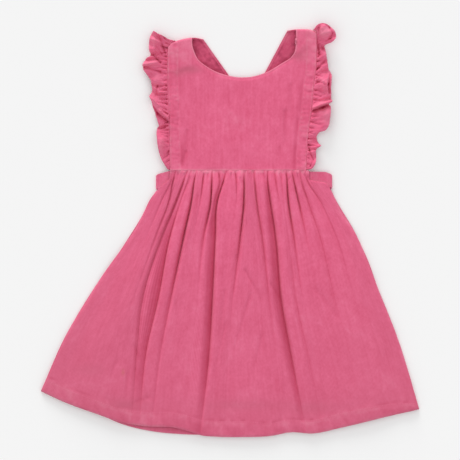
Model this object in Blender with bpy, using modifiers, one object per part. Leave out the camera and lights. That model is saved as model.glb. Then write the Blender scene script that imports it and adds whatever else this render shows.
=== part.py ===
"""A toddler's pinafore dress in fine corduroy, laid flat on its back.

Seen from above, +X is to the right, +Y runs from the hem to the shoulders, and +Z is up. The origin is under
the middle of the dress, on the surface that it lies on. All sizes below are in millimetres.

The back skirt, the waistband's back and the two crossed straps lie on that surface. The front skirt, the bib
and the armhole ruffles lie over them. Each piece is one open surface, made thick with Solidify, and sewn
pieces stand SEAM apart.
"""

import math
from collections import namedtuple

import bmesh
import bpy
import numpy as np

METRES = 0.001  # one millimetre

# Cloth
SINGLE = 1.2  # one layer of fine corduroy with its nap
DOUBLE = 1.6  # two pressed layers: the bib, the straps and the waistband
SEAM = 0.3  # clearance between sewn pieces

# Levels, to the outer face of a layer
FRONT_LEVEL = SINGLE + SEAM + SINGLE  # the front skirt where it lies flat on the back skirt
BIB_LEVEL = 5.4
SHOULDER_RADIUS = 3.5  # outer radius of the fold where a strap turns from back to front
SHOULDER_TURN = (66, 44, 26, 13)  # degrees above the middle of that fold at which its rows stand
BAND_RADIUS = 2.2  # outer radius of the waistband's two side folds
STRAP_STEP = DOUBLE + SEAM  # how far the upper strap climbs over the lower one
STRAP_CROSSING = 37.0  # half the length over which it stays that high
STRAP_CLIMB = 24.0  # and the length of its slope

# Colour of the washed pink corduroy
PINK = (0.72, 0.14, 0.26, 1.0)
NAP_ROUGHNESS = 0.9

Point = namedtuple("Point", "x y")
Fold = namedtuple("Fold", "path depth left right ridge gathered")
Wave = namedtuple("Wave", "seam_y edge_x edge_y height")
Loft = namedtuple("Loft", "below_waist height")
BandEdge = namedtuple("BandEdge", "x low high")

# ---------------------------------------------------------------- outlines, each from left to right or top down

SIDE_LEFT = [Point(*p) for p in (
    (-97, 52.8), (-106.5, 40), (-116, 20), (-127, 0), (-153.5, -36), (-169, -59), (-189.5, -93),
    (-208, -122), (-226, -154), (-241, -186), (-249, -204), (-251.5, -214),
)]
SIDE_RIGHT = [Point(*p) for p in (
    (134, 53.8), (139.5, 42), (149, 20), (163, 2), (177, -27), (190, -58), (204, -98),
    (218, -130), (231, -170), (242, -202), (251.5, -238),
)]
WAIST_SEAM = 78.9
HEM_FRONT = [Point(*p) for p in (
    (-251.5, -214), (-221, -228), (-177, -244), (-145, -255), (-111, -260.5), (-72, -262.5), (-52, -268),
    (-38, -272.5), (-18, -274.4), (13, -274.8), (56, -273), (80, -268.5), (110, -270), (149, -262), (207, -248),
    (251.5, -238),
)]
HEM_BACK = [Point(*p) for p in (
    (-251.5, -214), (-221, -227), (-177, -243.5), (-145, -257.5), (-106, -267), (-61, -271.5), (-30, -272.5),
    (56, -271), (110, -266), (149, -260), (207, -246.5), (251.5, -238),
)]
BIB_BOTTOM = [Point(*p) for p in ((-79.5, 79.2), (-54, 79.2), (80, 79.2), (101.5, 79.2))]
BIB_LEFT = [Point(*p) for p in (
    (-79.5, 79.2), (-80, 120), (-80.8, 157), (-82.4, 186), (-82.8, 226), (-82, 243.5),
)]
BIB_RIGHT = [Point(*p) for p in (
    (101.5, 79.2), (101.8, 98), (104.5, 134), (108.5, 160), (111.2, 191), (114, 212), (114.8, 240),
    (114.9, 263.5),
)]
SHOULDER_LEFT = [Point(*p) for p in ((-82, 243.5), (-78.5, 247.5), (-71, 251), (-60, 254), (-50, 255.5))]
SHOULDER_RIGHT = [Point(*p) for p in ((87.5, 266.4), (93, 266.6), (106, 266), (114.9, 263.5))]
NECKLINE = [Point(*p) for p in (
    (-50, 255.5), (-50.2, 250), (-49.8, 245), (-47.5, 237), (-41, 225), (-32, 218), (-20, 211), (-4, 205.5),
    (13, 202.8), (28, 203.5), (47, 209), (68, 221), (81, 229.5), (85.6, 236), (87.2, 245), (87.5, 257),
    (87.5, 266.4),
)]
BIB_STRAP_SHARE = 0.1  # how much of the bib's width at the waist runs up into each strap

# ---------------------------------------------------------------- straps: where each back strap lies

STRAPS = {
    # name: fold line at the shoulder, left and right corner at the waistband, whether it lies over the other
    "strap_left": ([*SHOULDER_LEFT, Point(-35.5, 253.5)], Point(43, 78.9), Point(88, 78.9), False),
    "strap_right": ([Point(76, 264.8), *SHOULDER_RIGHT], Point(-23, 78.9), Point(19, 78.9), True),
}

# ---------------------------------------------------------------- waistband: lower and upper edge, by place

BAND_FRONT_LEFT = [BandEdge(*e) for e in ((-98.4, 53.2, 73.2), (-90, 59.3, 75.8), (-81.4, 66.9, 78.2))]
BAND_BACK = [BandEdge(*e) for e in (
    (-98.4, 53.2, 73.2), (-60, 58, 76.5), (18, 61, 78.6), (100, 58, 76.8), (135.7, 54.4, 73.6),
)]
BAND_FRONT_RIGHT = [BandEdge(*e) for e in ((106.6, 66.8, 77.6), (127.3, 63, 77), (135.7, 54.4, 73.6))]

# ---------------------------------------------------------------- front skirt: folds, from left to right

# Shares of the way from the waist seam to the hem at which each fold's place and depth are given
FOLD_LEVELS = (0.0, 0.045, 0.11, 0.26, 0.5, 0.7, 1.0)
FOLD_SPREAD = (0.4, 0.5, 0.65, 1.0, 1.0, 0.9, 0.65)  # how wide a fold is there, as a share of its half widths
FOLDS = [Fold(*f) for f in (
    # x at each level, depth at each level, half widths on the left and right, height of the ridge to its right,
    # and 1 where the line starts in the waist seam, or 0 under the waistband
    ((-81, -81.6, -96, -119, -160, -192, -226), (0, 0, 0, 0, 0, 0, 0), 4, 4, 0, 0),
    ((-79.6, -80.3, -94, -117, -156, -187, -220), (0, 0, 0, 0, 0, 0, 0), 4, 4, 0, 1),
    ((-76.5, -78.2, -88, -108, -143, -171, -203), (0.45, 0.45, 0.4, 0.1, 0, 0, 0), 6, 6, 0, 1),
    ((-72, -75.5, -79.5, -97, -125, -149, -174), (0.6, 0.7, 0.65, 0.35, 0.1, 0, 0), 4, 5, 0, 1),
    ((-57, -62, -69, -89, -105, -119, -134), (0.8, 0.9, 1, 1, 1, 0.9, 0.25), 11, 5, 2, 1),
    ((-52, -54.5, -58, -76, -90, -106, -119), (0.6, 0.5, 0.2, 0, 0, 0, 0), 4, 4, 0, 1),
    ((-44, -47.5, -50.5, -64.5, -75, -92, -101), (0.8, 0.9, 0.95, 0.95, 0.45, 0.15, 0), 5, 5, 1, 1),
    ((-34.5, -36, -38.5, -49, -58, -69, -77), (0.6, 0.55, 0.2, 0, 0, 0, 0), 4, 4, 0, 1),
    ((-23.5, -24, -25, -35, -43, -52, -60), (0.8, 0.9, 0.95, 0.4, 0, 0, 0), 6, 4, 0.5, 1),
    ((-15.5, -14, -19.5, -26, -31, -38, -50), (0.6, 0.5, 0.1, 0, 0, 0, 0), 4, 4, 0, 1),
    ((-4.5, -9, -16, -19.5, -23.5, -28, -40), (0.7, 0.85, 0.9, 0.95, 1, 0.95, 0.35), 14, 4.5, 2, 1),
    ((7, 8.5, 9, 3, -3, -8, -14), (0.5, 0.4, 0.1, 0, 0, 0, 0), 4, 4, 0, 1),
    ((18.5, 18, 17, 11.5, 3, -2, -6), (0.9, 1, 1, 0.9, 0.35, 0.1, 0), 6, 5.5, 0.5, 1),
    ((31.5, 33, 35, 43, 52, 61, 71), (0.6, 0.6, 0.6, 0.5, 0.25, 0.1, 0), 5, 8, 0, 1),
    ((50, 50.5, 53.5, 62.5, 71.5, 84.5, 103), (0.8, 0.9, 1, 1, 1, 0.95, 0.3), 14, 4.5, 2.5, 1),
    ((59.5, 61, 64.5, 72, 80, 94, 113), (0.45, 0.4, 0.2, 0, 0, 0, 0), 5, 5, 0, 1),
    ((67.5, 68.5, 70.5, 78, 88, 103, 124), (0.4, 0.3, 0.1, 0.15, 0.35, 0.3, 0.1), 6, 7, 0, 1),
    ((75, 75.8, 77.3, 85, 97, 113, 138), (0.85, 0.95, 1, 0.5, 0.1, 0, 0), 6, 4.5, 1, 1),
    ((82, 85, 90, 101, 114, 133, 157), (0.8, 0.9, 0.85, 0.2, 0, 0, 0), 5, 6, 0, 1),
    ((92.5, 95, 102, 119, 138, 156, 179), (0.6, 0.6, 0.55, 0.4, 0.25, 0.05, 0), 7, 6, 0, 1),
    ((100.5, 103, 117, 140, 163, 181, 204), (0.5, 0.55, 0.5, 0.35, 0.15, 0, 0), 7, 8, 0, 1),
    ((104.8, 105.4, 121, 146, 171, 190, 212), (0, 0, 0, 0, 0, 0, 0), 4, 4, 0, 1),
    ((106.2, 106.8, 123, 149, 174, 193, 215), (0, 0, 0, 0, 0, 0, 0), 4, 4, 0, 0),
)]
# How high the cloth between the folds stands above where it would lie flat
LOFTS = [Loft(*row) for row in (
    (0, 1.5), (5, 3.6), (14, 6.0), (45, 6.2), (95, 5.6), (170, 4.8), (240, 3.6), (300, 2.3), (350, 1.2),
)]
RIDGE_REACH = 1.6  # how far right of a fold its ridge stands, as a share of the fold's right half width
RIDGE_START = 60.0  # how far below the waist seam the ridges reach their full height
GATHER_LIFT, GATHER_LIFT_LENGTH = 1.0, 30.0  # the front climbs over the waistband's back below the waist seam
SIDE_ROUND = 7.0  # radius of the rounded side edges
SIDE_CALM, SIDE_CALM_WIDTH = 0.3, 75.0  # share of the loft left at the sides, and how far in it is full

# ---------------------------------------------------------------- ruffles: one row for each crest, dip or flat

RUFFLE_SEAM_LEFT = [Point(*p) for p in (
    (-79.8, 79.6), (-80.3, 120), (-81.1, 157), (-82.7, 186), (-83.1, 226), (-82.5, 243.3), (-79, 248),
    (-73.5, 250.6),
)]
RUFFLE_SEAM_RIGHT = [Point(*p) for p in (
    (101.8, 79.6), (102.1, 98), (104.8, 134), (108.8, 160), (111.5, 191), (114.3, 212), (115.1, 240),
    (115.3, 263.6), (111.5, 265.5),
)]
RUFFLE_LEFT = [Wave(*w) for w in (
    (80.5, -82.5, 80, 3.5), (89, -90, 92, 8), (97, -94, 102.5, 5), (106.5, -96, 113, 9),
    (115.5, -97, 122.5, 9.5), (127.5, -97.5, 129.5, 6), (133, -96.5, 135, 2.2), (137, -94.5, 138.5, 2.2),
    (141, -96, 143.5, 5.5), (145, -99, 154.5, 3), (147.5, -102.5, 163.5, 2.2), (150.5, -104.5, 171, 6),
    (153, -107, 177, 10), (159.5, -104.5, 181.5, 6), (167.5, -103.5, 185, 3), (175.5, -103.5, 190, 7),
    (183.5, -104.5, 194, 4), (191.5, -105.5, 199, 8), (201, -109.5, 205, 5), (209, -114, 211, 9),
    (214, -115.5, 216, 4), (218, -116, 219, 10), (223.5, -113, 225, 3.5), (227, -109, 229, 7),
    (230, -105.5, 232, 2.2), (233, -106, 235.5, 4), (235.5, -107.5, 239.5, 8), (237.5, -107.5, 247.5, 5),
    (239.5, -106.5, 254, 9), (241.5, -104.5, 259.5, 5), (243.5, -101, 263.5, 10),
    (245.5, -96.5, 260.5, 5.5), (247, -90, 257, 8.5), (248.5, -82.5, 253.5, 6), (251, -74.5, 251.5, 4.5),
)]
RUFFLE_RIGHT = [Wave(*w) for w in (
    (80.5, 104.5, 80, 3.5), (84, 109.5, 82, 7), (89, 113.5, 89, 9), (96, 114.5, 98.5, 4),
    (102.5, 114, 105, 7), (105.5, 115.5, 108, 4), (108.5, 120.5, 111.5, 8.5), (113, 117.5, 115.5, 3.5),
    (117, 115.5, 120.5, 2.2), (121.5, 115.5, 125.5, 4), (125, 119.5, 130, 7), (129, 126.5, 132, 9),
    (134.5, 131, 138.5, 10), (141, 132.5, 147, 8.5), (147.5, 133.5, 155.5, 10), (153.5, 133.5, 163.5, 7),
    (157.5, 131.5, 167.5, 2.2), (159.5, 133, 168.5, 3.5), (161.5, 135.5, 170, 9), (165, 134.5, 174, 4),
    (169, 134, 179.5, 8), (175.5, 134, 187.5, 4.5), (183.5, 134.5, 195.5, 9), (191.5, 134.5, 203, 10),
    (199.5, 133, 210, 5), (205, 131, 213.5, 2.5), (210, 130, 218, 7), (218, 129, 225, 4.5),
    (225, 127.5, 233, 8), (230, 126.5, 239.5, 4), (235.5, 125.5, 244.5, 2.2), (238.5, 128.5, 246.5, 5),
    (242, 134.5, 248.5, 9), (245.5, 139, 252.5, 12), (248.5, 140.5, 257.5, 9), (252, 138.5, 263.5, 11),
    (255.5, 133.5, 268.5, 9), (258, 127.5, 272.5, 12), (260.5, 121.5, 274, 9), (262.5, 115.5, 271.5, 11),
    (264.5, 112.5, 268, 7), (265.5, 110.5, 265, 4.5),
)]
RUFFLE_ROOT = 5.0  # height of a ruffle's outer face at its seam
RUFFLE_COLUMNS_PER_WAVE = 3


# ---------------------------------------------------------------- curves


def hermite(knots, values, at):
    """Values of a smooth curve through the rows of values, each at its knot."""
    knots, values, at = np.asarray(knots, float), np.asarray(values, float), np.asarray(at, float)
    at = np.clip(at, knots[0], knots[-1])
    slopes = np.gradient(values, knots, axis=0)
    i = np.clip(np.searchsorted(knots, at, side="right") - 1, 0, len(knots) - 2)
    width = knots[i + 1] - knots[i]
    t = (at - knots[i]) / width
    if values.ndim > 1:
        t, width = t[..., None], width[..., None]
    start, end = values[i], values[i + 1]
    bend = (slopes[i] * (1 - t) - slopes[i + 1] * t) * width
    return start + (end - start) * t * t * (3 - 2 * t) + bend * t * (1 - t)


def curve(points, at):
    """Points of a smooth curve through the given points, at shares of its length."""
    points = np.array(points, float)
    steps = np.linalg.norm(np.diff(points, axis=0), axis=1)
    knots = np.concatenate([[0], np.cumsum(steps)]) / steps.sum()
    return hermite(knots, points, at)


def x_at(points, y):
    """Where an edge that runs down the dress is at this height."""
    rows = sorted(points, key=lambda p: p.y)
    return float(hermite([p.y for p in rows], [p.x for p in rows], y))


def y_at(points, x):
    """Where an edge that runs across the dress is at this place."""
    return float(hermite([p.x for p in points], [p.y for p in points], x))


def distance_to(points, place):
    """How far a place in plan is from a line of points."""
    line = np.array(points, float)
    start, step = line[:-1], np.diff(line, axis=0)
    share = np.clip(((place - start) * step).sum(1) / (step * step).sum(1), 0, 1)
    return float(np.linalg.norm(place - start - share[:, None] * step, axis=1).min())


def rounded(distance, radius):
    """Height of a quarter round, as a share of its radius, at this distance in from its edge."""
    inwards = min(max(distance / radius, 0.0), 1.0)
    return math.sqrt(1 - (1 - inwards) ** 2)


def near_fold(length, angle):
    """Share of a piece's length at which it has turned this far into its shoulder fold."""
    return 1 - SHOULDER_RADIUS * (1 - math.cos(math.radians(angle))) / length


def eased(share):
    """0 to 1 with no corner at either end."""
    share = min(max(share, 0.0), 1.0)
    return share * share * (3 - 2 * share)


# ---------------------------------------------------------------- making a piece


def corduroy(name):
    material = bpy.data.materials.new(name)
    material.use_nodes = True
    shader = material.node_tree.nodes["Principled BSDF"]
    shader.inputs["Base Color"].default_value = PINK
    shader.inputs["Roughness"].default_value = NAP_ROUGHNESS
    shader.inputs["Metallic"].default_value = 0.0
    return material


def cloth(name, columns, rows, place, thickness, side, collection):
    """A wall of cloth: a grid of columns by rows whose points place(i, j) gives, made thick towards its
    normal where side is 1, or away from it where side is -1."""
    surface = bmesh.new()
    bmesh.ops.create_grid(surface, x_segments=columns, y_segments=rows, size=1)
    for vertex in surface.verts:
        i = round((vertex.co.x + 1) / 2 * columns)
        j = round((vertex.co.y + 1) / 2 * rows)
        vertex.co = [c * METRES for c in place(i, j)]
    mesh = bpy.data.meshes.new(name)
    surface.to_mesh(mesh)
    surface.free()
    mesh.shade_smooth()
    mesh.materials.append(corduroy(f"{name}_corduroy"))
    piece = bpy.data.objects.new(name, mesh)
    collection.objects.link(piece)
    wall = piece.modifiers.new("wall", "SOLIDIFY")
    wall.thickness = thickness * METRES
    wall.offset = side
    return piece


# ---------------------------------------------------------------- the front skirt


# Shares of a column's length at which its points stand
FRONT_ROWS = (
    0.0, 0.012, 0.028, 0.05, 0.08, 0.115, 0.155, 0.2, 0.26, 0.32, 0.39, 0.46, 0.53, 0.6, 0.68, 0.76, 0.84,
    0.92, 1.0,
)
COLUMN_GAP = 4.0  # widest gap between columns
NARROW_GAP = 2.5  # two lines closer than this have no column between them
COLUMN_GAP_LEVEL = 2  # the fold level at which both gaps are measured
BAND_SEAM = 0.7  # clearance to the waistband's front, whose edge slopes
START_ROUNDS = 8  # rounds in which a column's start settles on that edge


def side_path(side):
    """The x of a side edge at each fold level, with its height falling evenly from its top to the hem."""
    return [x_at(side, side[0].y + (side[-1].y - side[0].y) * level) for level in FOLD_LEVELS]


def side_below_waist(side):
    """The same with the height falling from the waist seam, up to which the edge runs on straight."""
    heights = [WAIST_SEAM + (side[-1].y - WAIST_SEAM) * level for level in FOLD_LEVELS]
    first, second = side[:2]
    above = (first.x - second.x) / (first.y - second.y)
    return [x_at(side, y) if y < first.y else first.x + (y - first.y) * above for y in heights]


def front_height(x, y_below, level, to_side):
    """Height of the front skirt's outer face, at x, this far below the waist seam and in from its side."""
    flat = FRONT_LEVEL + GATHER_LIFT * math.exp(-((y_below / GATHER_LIFT_LENGTH) ** 2))
    loft = float(hermite([r.below_waist for r in LOFTS], [r.height for r in LOFTS], y_below))
    loft *= SIDE_CALM + (1 - SIDE_CALM) * eased(to_side / SIDE_CALM_WIDTH)
    spread = float(hermite(FOLD_LEVELS, FOLD_SPREAD, level))
    stands, ridges = 1.0, 0.0
    for fold in FOLDS:
        centre = float(hermite(FOLD_LEVELS, fold.path, level))
        depth = min(max(float(hermite(FOLD_LEVELS, fold.depth, level)), 0.0), 1.0)
        width = (fold.left if x < centre else fold.right) * spread
        away = min(abs(x - centre) / width, 1.0)
        stands *= 1 - depth * (1 - away) ** 2
        if fold.ridge:
            reach = RIDGE_REACH * fold.right * spread
            grown = fold.ridge * depth * eased(y_below / RIDGE_START)
            ridges += grown * (1 - eased(abs(x - centre - reach) / reach))
    return flat + (loft * stands + ridges) * rounded(to_side, SIDE_ROUND)


def front_skirt_columns():
    """Every column of the front skirt: its x at each fold level, and whether it starts at the waist seam."""
    lines = [np.array((*side_below_waist(SIDE_LEFT), 0))]
    lines += [np.array((*fold.path, fold.gathered)) for fold in FOLDS]
    lines += [np.array((*side_below_waist(SIDE_RIGHT), 0))]
    columns = []
    for line, following in zip(lines, lines[1:]):
        gap = (following - line)[COLUMN_GAP_LEVEL]
        parts = 1 if gap < NARROW_GAP else math.ceil(gap / COLUMN_GAP)
        columns += [line + (following - line) * part / parts for part in range(parts)]
    return columns + [lines[-1]]


def column_start(path, hem, gathered):
    """The level at which a column starts: at the waist seam, or just under the waistband's front."""
    start = 0.0
    for _ in range(0 if gathered else START_ROUNDS):
        x = float(hermite(FOLD_LEVELS, path, start))
        band = BAND_FRONT_LEFT if x < 0 else BAND_FRONT_RIGHT
        low = float(np.interp(x, [e.x for e in band], [e.low for e in band]))
        start = (WAIST_SEAM - low + BAND_SEAM) / (WAIST_SEAM - hem)
    return start


def skirt_front(collection):
    columns = front_skirt_columns()

    def place(i, j):
        *path, gathered = columns[i]
        hem = y_at(HEM_FRONT, path[-1])
        start = column_start(path, hem, gathered)
        level = start + (1 - start) * FRONT_ROWS[len(FRONT_ROWS) - 1 - j]
        x = float(hermite(FOLD_LEVELS, path, level))
        y = WAIST_SEAM + (hem - WAIST_SEAM) * level
        from_left = x - x_at(SIDE_LEFT, min(y, SIDE_LEFT[0].y))
        from_right = x_at(SIDE_RIGHT, min(y, SIDE_RIGHT[0].y)) - x
        return x, y, front_height(x, WAIST_SEAM - y, level, max(min(from_left, from_right), 0.0))

    return cloth("skirt_front", len(columns) - 1, len(FRONT_ROWS) - 1, place, SINGLE, -1, collection)


# ---------------------------------------------------------------- the back skirt


BACK_COLUMNS, BACK_ROWS = 22, 12


def skirt_back(collection):
    band = [(e.x, e.low) for e in BAND_BACK]
    left, right = side_path(SIDE_LEFT), side_path(SIDE_RIGHT)

    def place(i, j):
        across, share = i / BACK_COLUMNS, 1 - j / BACK_ROWS
        top_x, hem_x = (left[k] + (right[k] - left[k]) * across for k in (0, -1))
        from_left, from_right = (float(hermite(FOLD_LEVELS, path, share)) for path in (left, right))
        top = float(np.interp(top_x, *zip(*band))) - SEAM
        return from_left + (from_right - from_left) * across, top + (y_at(HEM_BACK, hem_x) - top) * share, 0.0

    return cloth("skirt_back", BACK_COLUMNS, BACK_ROWS, place, SINGLE, 1, collection)


# ---------------------------------------------------------------- the bib


BIB_COLUMNS = 30
BIB_ROWS = (0.0, 0.06, 0.14, 0.23, 0.32, 0.41, 0.5, 0.59, 0.68, 0.76, 0.83, 0.89, 0.94, 0.975, 1.0)
NECK_DROOP, NECK_DROOP_WIDTH = 0.8, 6.0  # the neckline's edge settles towards the straps behind it
SHOULDER_RISE_LENGTH = 60.0  # the front straps climb to the shoulder fold over this length
# Soft dents pressed into the bib: x, y, half width, half height, depth
BIB_DENTS = ((72, 150, 9, 32, 0.9), (50, 113, 9, 14, 0.6), (-62, 112, 8, 26, 0.6), (-69, 185, 8, 24, 0.6))


def bib_top(share):
    """The bib's upper edge: left shoulder, neckline, right shoulder."""
    if share < BIB_STRAP_SHARE:
        return curve(SHOULDER_LEFT, share / BIB_STRAP_SHARE)
    if share > 1 - BIB_STRAP_SHARE:
        return curve(SHOULDER_RIGHT, (share - 1 + BIB_STRAP_SHARE) / BIB_STRAP_SHARE)
    return curve(NECKLINE, (share - BIB_STRAP_SHARE) / (1 - 2 * BIB_STRAP_SHARE))


def bib_plan(across, up):
    """A place in the bib, between its four edges."""
    left, right = curve(BIB_LEFT, up), curve(BIB_RIGHT, up)
    bottom, top = curve(BIB_BOTTOM, across), bib_top(across)
    corners = (1 - up) * ((1 - across) * curve(BIB_LEFT, 0.0) + across * curve(BIB_RIGHT, 0.0))
    corners += up * ((1 - across) * curve(BIB_LEFT, 1.0) + across * curve(BIB_RIGHT, 1.0))
    return (1 - across) * left + across * right + (1 - up) * bottom + up * top - corners


def bib_height(x, y):
    """Height of the bib's outer face, but for the shoulder folds."""
    place = np.array((x, y))
    to_shoulder = min(distance_to(SHOULDER_LEFT, place), distance_to(SHOULDER_RIGHT, place))
    rise = 2 * SHOULDER_RADIUS - BIB_LEVEL
    height = BIB_LEVEL + rise * (1 - eased(to_shoulder / SHOULDER_RISE_LENGTH))
    height -= NECK_DROOP * (1 - eased(distance_to(NECKLINE, place) / NECK_DROOP_WIDTH))
    for dent_x, dent_y, wide, tall, depth in BIB_DENTS:
        height -= depth * math.exp(-(((x - dent_x) / wide) ** 2) - ((y - dent_y) / tall) ** 2)
    return height


def bib(collection):
    rows = [*BIB_ROWS, *SHOULDER_TURN]

    def place(i, j):
        across = i / BIB_COLUMNS
        length = float(np.linalg.norm(bib_top(across) - curve(BIB_BOTTOM, across)))
        if j < len(BIB_ROWS):
            x, y = bib_plan(across, rows[j] * near_fold(length, 90))
            return x, y, bib_height(x, y)
        x, y = bib_plan(across, near_fold(length, rows[j]))
        on_shoulder = across <= BIB_STRAP_SHARE or across >= 1 - BIB_STRAP_SHARE
        turned = math.sin(math.radians(rows[j])) if on_shoulder else 1.0
        return x, y, SHOULDER_RADIUS + (bib_height(x, y) - SHOULDER_RADIUS) * turned

    return cloth("bib", BIB_COLUMNS, len(rows) - 1, place, DOUBLE, -1, collection)


# ---------------------------------------------------------------- the straps


STRAP_COLUMNS = 4
STRAP_ROWS = (0.0, 0.12, 0.22, 0.3, 0.37, 0.45, 0.55, 0.65, 0.75, 0.85, 0.94, 1.0)


def strap_crossing():
    """Where the middle lines of the two straps cross."""
    ends = []
    for shoulder, left, right, _ in STRAPS.values():
        ends.append((curve(shoulder, 0.5), (np.array(left) + np.array(right)) / 2))
    (a, b), (c, d) = ends
    share = np.cross(c - a, d - c) / np.cross(b - a, d - c)
    return a + (b - a) * share


def strap(name, collection):
    shoulder, left, right, over = STRAPS[name]
    crossing = strap_crossing()
    rows = [*STRAP_ROWS, *SHOULDER_TURN]

    def place(i, j):
        across = i / STRAP_COLUMNS
        shoulder_end = curve(shoulder, across)
        waist_end = np.array(left) * (1 - across) + np.array(right) * across
        length = float(np.linalg.norm(shoulder_end - waist_end))
        if j < len(STRAP_ROWS):
            up, height = rows[j] * near_fold(length, 90), 0.0
        else:
            up, height = near_fold(length, rows[j]), SHOULDER_RADIUS * (1 - math.sin(math.radians(rows[j])))
        x, y = waist_end + (shoulder_end - waist_end) * up
        if over:
            from_crossing = float(np.linalg.norm(np.array((x, y)) - crossing))
            height += STRAP_STEP * (1 - eased((from_crossing - STRAP_CROSSING) / STRAP_CLIMB))
        return x, y, height

    return cloth(name, STRAP_COLUMNS, len(rows) - 1, place, DOUBLE, 1, collection)


# ---------------------------------------------------------------- the waistband


BAND_ROWS = 3
BAND_FOLD_STEPS = 6
BAND_STRETCH = 9.0  # spacing of the band's columns along its flat back


def band_columns():
    """Each column of the waistband, from the bib's left round the back to its right: x, z, low, high."""
    top = 2 * BAND_RADIUS
    left, right = BAND_BACK[0].x + BAND_RADIUS, BAND_BACK[-1].x - BAND_RADIUS

    def column(edges, x, z):
        at = [e.x for e in edges]
        return x, z, np.interp(x, at, [e.low for e in edges]), np.interp(x, at, [e.high for e in edges])

    def fold(centre_x, outwards, front):
        turned = []
        for step in range(1, BAND_FOLD_STEPS):
            angle = math.pi * step / BAND_FOLD_STEPS
            if outwards > 0:
                angle = math.pi - angle
            x = centre_x + outwards * BAND_RADIUS * math.sin(angle)
            z = BAND_RADIUS + BAND_RADIUS * math.cos(angle)
            turned.append(column(front if z > BAND_RADIUS else BAND_BACK, x, z))
        return turned

    columns = [column(BAND_FRONT_LEFT, x, top) for x in np.linspace(BAND_FRONT_LEFT[-1].x, left, 4)]
    columns += fold(left, -1, BAND_FRONT_LEFT)
    count = round((right - left) / BAND_STRETCH)
    columns += [column(BAND_BACK, x, 0.0) for x in np.linspace(left, right, count)]
    columns += fold(right, 1, BAND_FRONT_RIGHT)
    return columns + [column(BAND_FRONT_RIGHT, x, top) for x in np.linspace(right, BAND_FRONT_RIGHT[0].x, 6)]


def waistband(collection):
    columns = band_columns()

    def place(i, j):
        x, z, low, high = columns[i]
        return x, low + (high - low) * j / BAND_ROWS, z

    return cloth("waistband", len(columns) - 1, BAND_ROWS, place, DOUBLE, 1, collection)


# ---------------------------------------------------------------- the ruffles


RUFFLE_ROWS = 5


def ruffle(name, seam, waves, mirrored, collection):
    """A gathered frill: its inner edge follows the seam, and its outer edge runs through the waves."""
    columns = (len(waves) - 1) * RUFFLE_COLUMNS_PER_WAVE
    knots = np.arange(len(waves))
    seam_start, seam_end = seam[0].y, seam[-1].y

    def place(i, j):
        at = (columns - i if mirrored else i) / RUFFLE_COLUMNS_PER_WAVE
        out = j / RUFFLE_ROWS
        seam_y, edge_x, edge_y, height = hermite(knots, waves, at)
        root = curve(seam, min(max((seam_y - seam_start) / (seam_end - seam_start), 0.0), 1.0))
        x, y = root + (np.array((edge_x, edge_y)) - root) * out
        z = RUFFLE_ROOT + (max(height, SINGLE + SEAM) - RUFFLE_ROOT) * eased(out * 1.15)
        return x, y, z

    return cloth(name, columns, RUFFLE_ROWS, place, SINGLE, -1, collection)


# ---------------------------------------------------------------- the dress


def main():
    for old in list(bpy.data.objects):
        bpy.data.objects.remove(old)
    dress = bpy.data.collections.new("pinafore_dress")
    bpy.context.scene.collection.children.link(dress)
    skirt_back(dress)
    waistband(dress)
    for name in STRAPS:
        strap(name, dress)
    skirt_front(dress)
    bib(dress)
    ruffle("ruffle_left", RUFFLE_SEAM_LEFT, RUFFLE_LEFT, False, dress)
    ruffle("ruffle_right", RUFFLE_SEAM_RIGHT, RUFFLE_RIGHT, True, dress)


main()
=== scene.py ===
"""A toddler's pink corduroy pinafore, laid flat on its back.

Sizes are in millimetres: +X to the right, +Y from the hem to the shoulders, +Z up from what it lies on.
"""

import math
from collections import namedtuple

import bpy
import numpy as np
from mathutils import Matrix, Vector
from mathutils.bvhtree import BVHTree


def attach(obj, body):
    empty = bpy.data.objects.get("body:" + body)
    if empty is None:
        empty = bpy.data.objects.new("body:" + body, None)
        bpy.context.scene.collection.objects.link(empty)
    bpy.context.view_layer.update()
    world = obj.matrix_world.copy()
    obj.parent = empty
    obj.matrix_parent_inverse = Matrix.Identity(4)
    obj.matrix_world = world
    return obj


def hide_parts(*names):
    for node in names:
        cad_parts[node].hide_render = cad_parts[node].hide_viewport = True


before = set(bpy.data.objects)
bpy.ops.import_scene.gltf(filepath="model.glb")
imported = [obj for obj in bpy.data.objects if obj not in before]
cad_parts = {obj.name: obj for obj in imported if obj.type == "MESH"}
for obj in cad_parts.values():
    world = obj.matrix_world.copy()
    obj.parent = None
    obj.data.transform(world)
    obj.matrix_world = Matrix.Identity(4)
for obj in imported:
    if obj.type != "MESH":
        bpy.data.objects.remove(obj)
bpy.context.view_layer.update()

MM = 0.001

Point = namedtuple("Point", "x y")
Fold = namedtuple("Fold", "path depth left right ridge gathered")
Wave = namedtuple("Wave", "seam_y edge_x edge_y height")
BandEdge = namedtuple("BandEdge", "x low high")
Crease = namedtuple("Crease", "x0 y0 x1 y1 width depth")
Smudge = namedtuple("Smudge", "x y wide high amount")
Puff = namedtuple("Puff", "x y reach height")
Grain = namedtuple("Grain", "amount wide high layer")
Strap = namedtuple("Strap", "shoulder left right over")
Ruffle = namedtuple("Ruffle", "name seam waves mirrored layer tuck_ends creases ridges lips")


def table(kind, *rows):
    return [kind(*row) for row in rows]


def points(*pairs):
    return table(Point, *pairs)


# ---------------- outlines

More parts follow.
